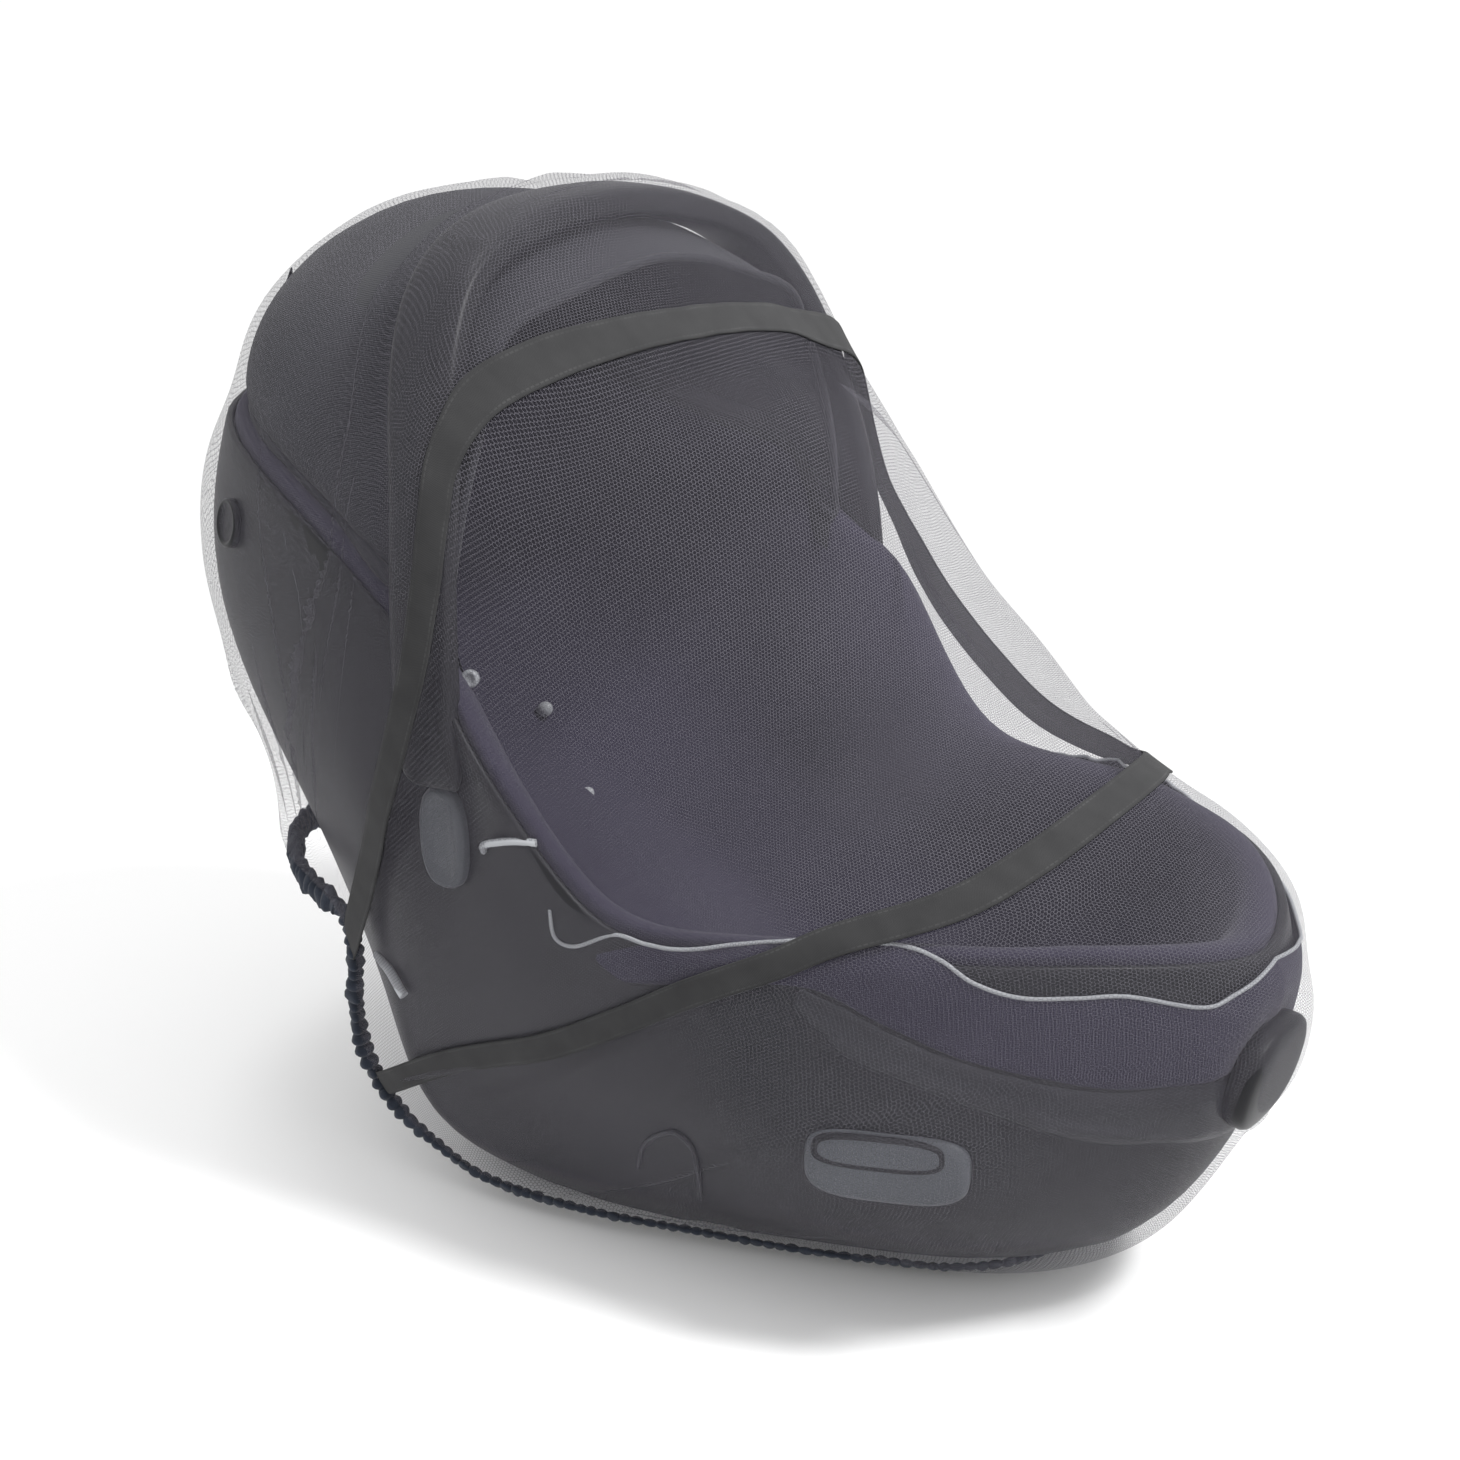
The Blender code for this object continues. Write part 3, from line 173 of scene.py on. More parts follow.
# Folds drawn into the net: what they are, the points they pass, height, half width.
FOLDS = (
    ("from the handle down the near side", ((-0.108, 0.167, 0.537), (-0.138, 0.153, 0.518),
     (-0.174, 0.131, 0.477), (-0.188, 0.129, 0.441), (-0.2, 0.128, 0.396), (-0.202, 0.141, 0.365),
     (-0.2, 0.169, 0.296), (-0.186, 0.182, 0.22)), 0.0078, 0.004),
    ("pull line beside it", ((-0.178, 0.12, 0.479), (-0.189, 0.112, 0.452), (-0.197, 0.117, 0.419),
     (-0.205, 0.119, 0.376), (-0.204, 0.14, 0.31), (-0.188, 0.17, 0.21)), 0.006, 0.0032),
    ("pull line beside it", ((-0.188, 0.098, 0.471), (-0.192, 0.105, 0.45), (-0.205, 0.101, 0.401),
     (-0.21, 0.104, 0.369), (-0.207, 0.125, 0.29), (-0.186, 0.16, 0.2)), 0.006, 0.003),
    ("pull line next to the tape", ((-0.199, 0.076, 0.44), (-0.206, 0.081, 0.415),
     (-0.212, 0.086, 0.384), (-0.213, 0.09, 0.361), (-0.214, 0.098, 0.315),
     (-0.2, 0.13, 0.225)), 0.0055, 0.003),
    ("rear gather", ((-0.15, 0.225, 0.49), (-0.176, 0.211, 0.417), (-0.191, 0.19, 0.361),
     (-0.195, 0.183, 0.339), (-0.198, 0.175, 0.294), (-0.186, 0.185, 0.22)), 0.0065, 0.0034),
    ("rear gather", ((-0.18, 0.192, 0.42), (-0.19, 0.175, 0.397), (-0.2, 0.155, 0.364),
     (-0.202, 0.158, 0.31), (-0.19, 0.172, 0.23)), 0.0058, 0.0032),
    ("rear gather", ((-0.189, 0.164, 0.41), (-0.197, 0.153, 0.38), (-0.203, 0.141, 0.361),
     (-0.204, 0.148, 0.3), (-0.19, 0.165, 0.21)), 0.0056, 0.003),
    ("edge of the loose web by the tape", ((-0.2, 0.129, 0.393), (-0.203, 0.147, 0.348),
     (-0.2, 0.169, 0.296), (-0.184, 0.199, 0.26)), 0.006, 0.0034),
    ("gather behind the head end", ((-0.15, 0.28, 0.37), (-0.165, 0.25, 0.31), (-0.176, 0.22, 0.26),
     (-0.18, 0.2, 0.21)), 0.006, 0.0042),
    ("gather behind the head end", ((-0.13, 0.31, 0.34), (-0.15, 0.28, 0.29), (-0.17, 0.24, 0.235),
     (-0.178, 0.212, 0.2)), 0.006, 0.0045),
    ("gather behind the head end", ((-0.165, 0.245, 0.39), (-0.18, 0.22, 0.33), (-0.187, 0.2, 0.27),
     (-0.184, 0.188, 0.21)), 0.0058, 0.0036),
    ("gather of the elastic at the back", ((-0.1, 0.33, 0.3), (-0.12, 0.305, 0.24),
     (-0.14, 0.27, 0.2)), 0.005, 0.005),
    ("gather of the elastic at the back", ((0.1, 0.33, 0.32), (0.13, 0.3, 0.25),
     (0.15, 0.255, 0.19)), 0.006, 0.005),
    ("gather of the elastic at the back", ((0.03, 0.36, 0.33), (0.04, 0.34, 0.25),
     (0.05, 0.31, 0.185)), 0.005, 0.006),
    ("gather of the elastic at the back", ((-0.03, 0.36, 0.3), (-0.035, 0.34, 0.24),
     (-0.04, 0.31, 0.185)), 0.005, 0.006),
    ("pull line on the far side", ((0.15, 0.13, 0.5), (0.19, 0.12, 0.43), (0.205, 0.14, 0.33),
     (0.19, 0.165, 0.2)), 0.006, 0.0045),
    ("pull line on the far side", ((0.17, 0.18, 0.45), (0.195, 0.16, 0.37), (0.2, 0.16, 0.28),
     (0.186, 0.17, 0.19)), 0.005, 0.004),
    ("low crease on the far side", ((0.2, 0.06, 0.26), (0.2, 0.0, 0.22), (0.19, -0.08, 0.18),
     (0.17, -0.17, 0.14)), 0.005, 0.006),
    ("fan crease on the far side", ((0.172, 0.075, 0.05), (0.17, 0.02, 0.06), (0.17, -0.06, 0.08),
     (0.16, -0.14, 0.1)), 0.004, 0.005),
    ("corner pleat over the handle", ((-0.116, 0.123, 0.558), (-0.12, 0.09, 0.558),
     (-0.111, 0.065, 0.546)), 0.005, 0.004),
    ("corner pleat beside it", ((-0.1, 0.11, 0.566), (-0.09, 0.075, 0.556),
     (-0.075, 0.05, 0.54)), 0.0035, 0.004),
    ("crest over the handle", ((-0.112, 0.115, 0.56), (-0.083, 0.096, 0.572), (-0.025, 0.094, 0.58),
     (0.03, 0.092, 0.58), (0.09, 0.09, 0.565)), 0.005, 0.006),
    ("hollow before the handle", ((-0.112, 0.067, 0.547), (-0.057, 0.062, 0.56), (-0.006, 0.06, 0.563),
     (0.071, 0.064, 0.553)), -0.009, 0.012),
    ("hollow behind the handle", ((-0.13, 0.175, 0.53), (-0.08, 0.17, 0.56), (0.0, 0.165, 0.572),
     (0.08, 0.17, 0.56)), -0.007, 0.014),
    ("low crease along the shell", ((-0.178, 0.075, 0.075), (-0.187, 0.034, 0.098),
     (-0.192, -0.037, 0.143), (-0.19, -0.074, 0.167), (-0.185, -0.107, 0.185)), 0.0075, 0.004),
    ("short crease under the tape", ((-0.185, 0.124, 0.074), (-0.188, 0.078, 0.097),
     (-0.19, 0.04, 0.115)), 0.0055, 0.003),
    ("fan crease", ((-0.176, 0.115, 0.05), (-0.172, 0.085, 0.042), (-0.173, 0.044, 0.046),
     (-0.174, 0.012, 0.061), (-0.17, -0.03, 0.085)), 0.005, 0.003),
    ("fan crease", ((-0.17, 0.055, 0.024), (-0.163, 0.01, 0.031), (-0.163, -0.05, 0.061),
     (-0.178, -0.117, 0.108), (-0.182, -0.168, 0.141), (-0.162, -0.212, 0.159)), 0.0065, 0.004),
    ("fan crease", ((-0.172, 0.09, 0.03), (-0.166, 0.03, 0.04), (-0.166, -0.03, 0.07),
     (-0.172, -0.09, 0.12)), 0.0045, 0.003),
    ("roll above the hem", ((-0.162, 0.014, 0.025), (-0.152, -0.028, 0.028), (-0.135, -0.096, 0.035),
     (-0.132, -0.196, 0.067)), 0.005, 0.0045),
    ("drag across the foot end", ((-0.12, -0.27, 0.15), (-0.06, -0.32, 0.13), (0.0, -0.335, 0.12),
     (0.07, -0.31, 0.13)), 0.004, 0.005),
    ("drag from the foot cap", ((-0.02, -0.35, 0.19), (-0.07, -0.31, 0.215), (-0.12, -0.25, 0.235)),
     0.004, 0.004),
)


def catmull(p0, p1, p2, p3, t):
    """Point on the smooth curve from p1 to p2."""
    a = 2.0 * p1
    b = p2 - p0
    c = 2.0 * p0 - 5.0 * p1 + 4.0 * p2 - p3
    d = 3.0 * p1 - p0 - 3.0 * p2 + p3
    return 0.5 * (a + b * t + c * t * t + d * t ** 3)


def smooth_curve(points, per_span, closed=False):
    """Smooth curve through the points, with the same number of steps in each span."""
    points = np.asarray(points, float)
    spans = len(points) if closed else len(points) - 1
    if closed:
        padded = np.concatenate((points[-1:], points, points[:2]))
    else:
        padded = np.concatenate((2.0 * points[:1] - points[1:2], points,
                                 2.0 * points[-1:] - points[-2:-1]))
    samples = []
    for span in range(spans):
        for step in range(per_span):
            samples.append(catmull(*padded[span:span + 4], step / per_span))
    if not closed:
        samples.append(points[-1])
    return np.array(samples)


def resample(points, count, closed=False):
    """The same curve with evenly spaced samples."""
    track = np.concatenate((points, points[:1])) if closed else points
    steps = np.linalg.norm(np.diff(track[:, :3], axis=0), axis=1)
    distance = np.concatenate(([0.0], np.cumsum(steps)))
    wanted = np.linspace(0.0, distance[-1], count, endpoint=not closed)
    return np.stack([np.interp(wanted, distance, track[:, k]) for k in range(track.shape[1])], axis=-1)


def unit(vectors):
    """Vectors scaled to length one."""
    return vectors / np.linalg.norm(vectors, axis=-1, keepdims=True)


def between(first, last, share):
    """Direction part of the way along the arc from one direction to another."""
    angle = np.arccos(np.clip(np.sum(first * last, axis=-1, keepdims=True), -1.0, 1.0))
    angle = np.maximum(angle, 1e-6)
    return (np.sin((1 - share) * angle) * first + np.sin(share * angle) * last) / np.sin(angle)


def leaned(directions, lean):
    """Directions turned about the X axis, from upright toward the head end."""
    x, y, z = np.moveaxis(directions, -1, 0)
    return np.stack((x, y * math.cos(lean) + z * math.sin(lean),
                     z * math.cos(lean) - y * math.sin(lean)), axis=-1)


def node_tree(names):
    """Search tree over CAD nodes."""
    points = []
    faces = []
    for name in names:
        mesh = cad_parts[name].data
        start = len(points)
        points.extend(vertex.co.copy() for vertex in mesh.vertices)
        faces.extend([start + index for index in polygon.vertices] for polygon in mesh.polygons)
    return BVHTree.FromPolygons(points, faces)


def over_poles(grid, margin):
    """Grid with rows added past both poles."""
    half = grid.shape[1] // 2
    first = np.roll(grid[:margin][::-1], half, axis=1)
    last = np.roll(grid[-margin:][::-1], half, axis=1)
    return np.concatenate((first, grid, last))


def blurred(grid):
    """Grid averaged with its neighbours."""
    tall = over_poles(grid, 1)
    grid = 0.25 * tall[:-2] + 0.5 * tall[1:-1] + 0.25 * tall[2:]
    return 0.25 * np.roll(grid, 1, axis=1) + 0.5 * grid + 0.25 * np.roll(grid, -1, axis=1)


def grown(grid):
    """Largest value of each cell and its neighbours."""
    tall = over_poles(grid, 1)
    grid = np.maximum(np.maximum(tall[:-2], tall[1:-1]), tall[2:])
    return np.maximum(np.maximum(np.roll(grid, 1, axis=1), grid), np.roll(grid, -1, axis=1))


def shrunk(grid):
    """Smallest value of each cell and its neighbours."""
    return -grown(-grid)


def filled(grid, turns=60):
    """Grid with its unknown cells filled from the known ones around them."""
    for _ in range(turns):
        known = np.nan_to_num(grid)
        weight = blurred((~np.isnan(grid)).astype(float))
        mean = blurred(known) / np.maximum(weight, 1e-9)
        grid = np.where(np.isnan(grid) & (weight > 0.01), mean, grid)
    return grid


def step_up(value, low, high):
    """Smooth step from 0 at low to 1 at high."""
    share = np.clip((value - low) / (high - low), 0.0, 1.0)
    return share * share * (3.0 - 2.0 * share)


def near_side(tree, directions):
    """Distance from the heart to the first surface in each direction, or nan."""
    flat = directions.reshape(-1, 3)
    result = np.full(len(flat), np.nan)
    for k, direction in enumerate(flat):
        hit = tree.ray_cast(Vector(HEART), Vector(direction), 1.0)
        if hit[0] is not None:
            result[k] = hit[3]
    return result.reshape(directions.shape[:-1])


def cast(tree, directions):
    """Distance from the heart to the outermost surface in each direction, or nan."""
    flat = directions.reshape(-1, 3)
    result = np.full(len(flat), np.nan)
    for k, direction in enumerate(flat):
        hit = tree.ray_cast(Vector(HEART + direction), Vector(-direction), 1.0)
        if hit[0] is not None:
            result[k] = 1.0 - hit[3]
    return result.reshape(directions.shape[:-1])


def spline_weights(t):
    """Weights of four neighbours for a smooth value between them."""
    return ((1 - t) ** 3 / 6, (3 * t ** 3 - 6 * t ** 2 + 4) / 6,
            (-3 * t ** 3 + 3 * t ** 2 + 3 * t + 1) / 6, t ** 3 / 6)


class Form:
    """Smooth outer face of the net as a distance for each direction."""

    turned = None

    def __init__(self, net, seat):
        drop = ((np.arange(GRID_ROWS) + 0.5) * math.pi / GRID_ROWS)[:, None]
        heading = (np.arange(2 * GRID_ROWS) * math.pi / GRID_ROWS)[None, :]
        upright = np.stack((np.sin(drop) * np.cos(heading), np.sin(drop) * np.sin(heading),
                            np.cos(drop) * np.ones_like(heading)), axis=-1)
        directions = leaned(upright, GRID_LEAN)
        self.directions = directions
        below = np.nan_to_num(cast(seat, directions))
        grid = cast(net, directions)
        grid = np.nan_to_num(filled(grid), nan=0.2)
        least = np.where(below > 0.0, grown(below) + NET_CLEARANCE, 0.0)
        for _ in range(GRID_BLUR):
            grid = np.maximum(blurred(grid), least)
        self.grid = grid
        self.draw_in(least)
        self.grid = blurred(self.grid)

    def draw_in(self, least):
        """Bring the net to the places it is known to pass, as far as the seat allows."""
        for points, spread in ((np.array([row[0] for row in TAPE_LINE[2:-2]]), TAPE_SPREAD),
                               (np.array(NET_MARKS), MARK_SPREAD)):
            track = resample(smooth_curve(points, 4), 120) if spread == TAPE_SPREAD else points
            aim = unit(track - HEART)
            for _ in range(2):
                error = np.linalg.norm(track - HEART, axis=1) - self.value(self.grid, aim)
                total = np.zeros(self.grid.shape)
                weight = np.zeros(self.grid.shape)
                for direction, miss in zip(aim, error):
                    near = np.exp((self.directions @ direction - 1.0) / spread ** 2 * 2.0)
                    total += near * miss
                    weight += near
                strength = 1.0 - np.exp(-2.0 * weight)
                self.grid = self.grid + strength * total / np.maximum(weight, 1e-6)
                self.grid = np.maximum(self.grid, least)
        for _ in range(3):
            self.grid = np.maximum(blurred(self.grid), least)

    def value(self, grid, directions):
        """Smooth value of a grid in the given directions."""
        upright = leaned(directions, -GRID_LEAN)
        drop = np.arctan2(np.hypot(upright[..., 0], upright[..., 1]), upright[..., 2])
        heading = np.arctan2(upright[..., 1], upright[..., 0]) % (2 * math.pi)
        tall = over_poles(grid, 3)
        row = drop / math.pi * GRID_ROWS - 0.5 + 3
        column = heading / math.pi * GRID_ROWS
        low = np.floor(row).astype(int)
        left = np.floor(column).astype(int)
        down = spline_weights(row - low)
        across = spline_weights(column - left)
        total = np.zeros(row.shape)
        for i in range(4):
            for j in range(4):
                picked = tall[low + i - 1, (left + j - 1) % (2 * GRID_ROWS)]
                total += down[i] * across[j] * picked
        return total

    def tilt(self, plain):
        """Rise of the net where the tape turns it like a hinge."""
        rise = np.zeros(plain.shape[:-1])
        if self.turned is None:
            return rise
        line, outward, amount = self.turned
        near = np.all((plain > line.min(axis=0) - 0.07) & (plain < line.max(axis=0) + 0.07), axis=-1)
        spots = plain[near]
        gap = np.linalg.norm(spots[:, None, :] - line, axis=-1)
        nearest = np.argmin(gap, axis=-1)
        side = np.sum((spots - line[nearest]) * outward[nearest], axis=-1)
        away = np.sqrt(np.maximum(gap.min(axis=-1) ** 2 - side ** 2, 0.0))
        rise[near] = -amount[nearest] * side / 0.008 * np.exp(-(side / 0.02) ** 2 - (away / 0.02) ** 2)
        return rise

    def point(self, directions, folds=True):
        """Points on the net, folds included."""
        distance = self.value(self.grid, directions)
        plain = HEART + directions * distance[..., None]
        rise = self.tilt(plain)
        if folds:
            for _, path, height, half_width in FOLDS:
                ridge = resample(smooth_curve(path, 8), 60)
                near = np.all((plain > ridge.min(axis=0) - 0.03) & (plain < ridge.max(axis=0) + 0.03),
                              axis=-1)
                spots = plain[near]
                gap = np.linalg.norm(spots[:, None, :] - ridge, axis=-1)
                nearest = np.argmin(gap, axis=-1)
                taper = np.sin(math.pi * (nearest + 1) / 61.0) ** 0.6
                reach = gap.min(axis=-1) / half_width
                shape = np.exp(-reach ** 2) - 0.35 * np.exp(-(reach / 2.4) ** 2)
                rise[near] += height * taper * shape
        return plain + directions * rise[..., None]


def surface(name, colour, roughness, sheen=0.0, specular=0.5):
    """New material with a plain shader, its node tree and the shader."""
    material = bpy.data.materials.new(name)
    material.use_nodes = True
    tree = material.node_tree
    shader = tree.nodes["Principled BSDF"]
    shader.inputs["Base Color"].default_value = (*colour, 1.0)
    shader.inputs["Roughness"].default_value = roughness
    shader.inputs["Sheen Weight"].default_value = sheen
    shader.inputs["Specular IOR Level"].default_value = specular
    return material, tree, shader


def ramp(tree, source, stops):
    """Colour ramp fed by a value."""
    node = tree.nodes.new("ShaderNodeValToRGB")
    while len(node.color_ramp.elements) < len(stops):
        node.color_ramp.elements.new(0.5)
    for element, (position, colour) in zip(node.color_ramp.elements, stops):
        element.position = position
        element.color = (*colour, 1.0)
    tree.links.new(source, node.inputs["Fac"])
    return node.outputs["Color"]


def math_node(tree, operation, first, second=None, third=None):
    """Math node with sockets or numbers as inputs."""
    node = tree.nodes.new("ShaderNodeMath")
    node.operation = operation
    for k, value in enumerate((first, second, third)):
        if value is None:
            continue
        if isinstance(value, (int, float)):
            node.inputs[k].default_value = value
        else:
            tree.links.new(value, node.inputs[k])
    return node.outputs[0]


def vector_node(tree, operation, first, second=None, output="Vector"):
    """Vector math node with sockets or triples as inputs."""
    node = tree.nodes.new("ShaderNodeVectorMath")
    node.operation = operation
    for k, value in enumerate((first, second)):
        if value is None:
            continue
        if isinstance(value, tuple):
            node.inputs[k].default_value = value
        else:
            tree.links.new(value, node.inputs[k])
    return node.outputs[output]


def noise(tree, vector, scale, detail=3.0, roughness=0.5):
    """Noise value over a coordinate."""
    node = tree.nodes.new("ShaderNodeTexNoise")
    node.inputs["Scale"].default_value = scale
    node.inputs["Detail"].default_value = detail
    node.inputs["Roughness"].default_value = roughness
    tree.links.new(vector, node.inputs["Vector"])
    return node.outputs["Fac"]


def bump(tree, shader, height, strength, distance):
    """Feed a height into the shader as relief."""
    node = tree.nodes.new("ShaderNodeBump")
    node.inputs["Strength"].default_value = strength
    node.inputs["Distance"].default_value = distance
    tree.links.new(height, node.inputs["Height"])
    tree.links.new(node.outputs["Normal"], shader.inputs["Normal"])


def hex_distance(tree, vector):
    """Distance from the middle of the nearest cell of a hexagon pattern, 0.5 at its sides."""
    size = (1.0, 1.7320508, 1.0)
    half = (0.5, 0.8660254, 0.5)
    shifted = vector_node(tree, "ADD", vector, (1000.0, 1732.0508, 0.0))
    first = vector_node(tree, "SUBTRACT", vector_node(tree, "MODULO", shifted, size), half)
    moved = vector_node(tree, "SUBTRACT", shifted, half)
    second = vector_node(tree, "SUBTRACT", vector_node(tree, "MODULO", moved, size), half)
    flat = (1.0, 1.0, 0.0)
    first = vector_node(tree, "MULTIPLY", first, flat)
    second = vector_node(tree, "MULTIPLY", second, flat)
    nearer = math_node(tree, "LESS_THAN", vector_node(tree, "DOT_PRODUCT", first, first, "Value"),
                       vector_node(tree, "DOT_PRODUCT", second, second, "Value"))
    mix = tree.nodes.new("ShaderNodeMix")
    mix.data_type = "VECTOR"
    tree.links.new(nearer, mix.inputs["Factor"])
    tree.links.new(second, mix.inputs[4])
    tree.links.new(first, mix.inputs[5])
    side = vector_node(tree, "ABSOLUTE", mix.outputs[1])
    along = vector_node(tree, "DOT_PRODUCT", side, (0.5, 0.8660254, 0.0), "Value")
    upright = vector_node(tree, "DOT_PRODUCT", side, (1.0, 0.0, 0.0), "Value")
    return math_node(tree, "MAXIMUM", along, upright)


def tulle_material():
    """Sheer hexagon net of fine grey thread."""
    material, tree, shader = surface("tulle", (0.118, 0.114, 0.13), 0.9, specular=0.0)
    uv = tree.nodes.new("ShaderNodeUVMap").outputs["UV"]
    cells = vector_node(tree, "MULTIPLY", uv, (1.0 / TULLE_PITCH,) * 3)
    distance = hex_distance(tree, cells)
    stretch = noise(tree, uv, 14.0, 2.0)
    start = math_node(tree, "MULTIPLY_ADD", stretch, 0.05, 0.345)
    thread = math_node(tree, "MULTIPLY", math_node(tree, "SUBTRACT", distance, start), 9.0)
    thread = math_node(tree, "MINIMUM", math_node(tree, "MAXIMUM", thread, 0.0), 1.0)
    alpha = math_node(tree, "MULTIPLY_ADD", thread, 0.52, 0.13)
    tree.links.new(alpha, shader.inputs["Alpha"])
    tint = noise(tree, uv, 3.0, 2.0)
    colour = ramp(tree, tint, ((0.3, (0.106, 0.102, 0.118)), (0.7, (0.13, 0.126, 0.144))))
    tree.links.new(colour, shader.inputs["Base Color"])
    return material


def tape_material():
    """Dark grey woven tape with a row of stitches along each edge."""
    material, tree, shader = surface("woven_tape", (0.035, 0.035, 0.036), 0.85, sheen=0.03, specular=0.1)
    uv = tree.nodes.new("ShaderNodeUVMap").outputs["UV"]
    part = tree.nodes.new("ShaderNodeSeparateXYZ")
    tree.links.new(uv, part.inputs[0])
    along, across = part.outputs["X"], part.outputs["Y"]
    ribs = math_node(tree, "SINE", math_node(tree, "MULTIPLY", along, 2 * math.pi / 0.0009))
    cross = math_node(tree, "SINE", math_node(tree, "MULTIPLY", across, 2 * math.pi / 0.0011))
    weave = math_node(tree, "MULTIPLY", ribs, cross)
    edge = math_node(tree, "ABSOLUTE", across)
    row = math_node(tree, "COMPARE", edge, TAPE_WIDTH / 2 - 0.0016, 0.00035)
    dash = math_node(tree, "GREATER_THAN",
                     math_node(tree, "FRACT", math_node(tree, "MULTIPLY", along, 1 / 0.0032)), 0.3)
    stitch = math_node(tree, "MULTIPLY", row, dash)
    height = math_node(tree, "ADD", math_node(tree, "MULTIPLY", weave, 0.35), stitch)
    bump(tree, shader, height, 0.35, 0.0004)
    patch = noise(tree, uv, 60.0, 4.0)
    mixed = math_node(tree, "MULTIPLY_ADD", stitch, 0.25, patch)
    colour = ramp(tree, mixed, ((0.3, (0.031, 0.031, 0.032)), (0.7, (0.039, 0.039, 0.04)),
                                (1.0, (0.065, 0.065, 0.066))))
    tree.links.new(colour, shader.inputs["Base Color"])
    return material


def cloth_material(name, dark, light, scale, sheen=0.12, relief=0.0005, rough=0.9):
    """Plain woven or knitted cloth: fine thread grid with soft shade variation."""
    material, tree, shader = surface(name, dark, rough, sheen=sheen, specular=0.15)
    where = tree.nodes.new("ShaderNodeTexCoord").outputs["Object"]
    fine = tree.nodes.new("ShaderNodeTexVoronoi")
    fine.inputs["Scale"].default_value = scale
    fine.inputs["Randomness"].default_value = 0.25
    tree.links.new(where, fine.inputs["Vector"])
    cells = fine.outputs["Distance"]
    broad = noise(tree, where, 7.0, 4.0)
    mixed = math_node(tree, "MULTIPLY_ADD", cells, 0.45, math_node(tree, "MULTIPLY", broad, 0.75))
    colour = ramp(tree, mixed, ((0.25, dark), (0.75, light)))
    tree.links.new(colour, shader.inputs["Base Color"])
    bump(tree, shader, cells, 0.5, relief)
    return material


def plastic_material(name, dark, light, rough, grain=900.0, relief=0.00012):
    """Moulded plastic with fine grain and slightly worn patches."""
    material, tree, shader = surface(name, dark, rough, specular=0.2)
    where = tree.nodes.new("ShaderNodeTexCoord").outputs["Object"]
    fine = noise(tree, where, grain, 2.0)
    broad = noise(tree, where, 9.0, 5.0)
    colour = ramp(tree, broad, ((0.3, dark), (0.75, light)))
    tree.links.new(colour, shader.inputs["Base Color"])
    gloss = math_node(tree, "MULTIPLY_ADD", broad, 0.2, rough - 0.1)
    tree.links.new(gloss, shader.inputs["Roughness"])
    bump(tree, shader, fine, 0.4, relief)
    return material


def finish_piece(piece, material):
    """Give a piece its material and let it ride on the frame."""
    piece.data.materials.clear()
    piece.data.materials.append(material)
    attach(piece, "root")
    return piece


def grid_object(name, points, uv, closed_rows=False, closed_columns=False):
    """Smooth mesh object from a grid of points, with a coordinate in metres for its weave."""
    rows, columns = points.shape[:2]
    numbers = np.arange(rows * columns).reshape(rows, columns)
    r = np.arange(rows if closed_rows else rows - 1)
    c = np.arange(columns if closed_columns else columns - 1)
    r, c = np.meshgrid(r, c, indexing="ij")
    r1, c1 = (r + 1) % rows, (c + 1) % columns
    faces = np.stack((numbers[r, c], numbers[r, c1], numbers[r1, c1], numbers[r1, c]), axis=-1)
    faces = faces.reshape(-1, 4)
    mesh = bpy.data.meshes.new(name)
    mesh.from_pydata(points.reshape(-1, 3).tolist(), [], faces.tolist())
    layer = mesh.uv_layers.new(name="UVMap")
    ru = np.stack((r, r, r + 1, r + 1), axis=-1).reshape(-1)
    cu = np.stack((c, c + 1, c + 1, c), axis=-1).reshape(-1)
    layer.data.foreach_set("uv", uv(ru, cu).astype(np.float32).ravel())
    mesh.shade_smooth()
    piece = bpy.data.objects.new(name, mesh)
    bpy.context.scene.collection.objects.link(piece)
    return piece


def face_away(piece):
    """Turn the faces of an open sheet away from the heart."""
    bm = bmesh.new()
    bm.from_mesh(piece.data)
    bm.normal_update()
    total = 0.0
    for face in bm.faces:
        total += face.normal.dot(face.calc_center_median() - Vector(HEART)) * face.calc_area()
    if total < 0.0:
        bmesh.ops.reverse_faces(bm, faces=bm.faces)
    bm.to_mesh(piece.data)
    bm.free()


def at(ring, position):
    """Points between the samples of a closed ring."""
    low = np.floor(position).astype(int)
    share = (position - low)[..., None]
    return ring[low % len(ring)] * (1 - share) + ring[(low + 1) % len(ring)] * share


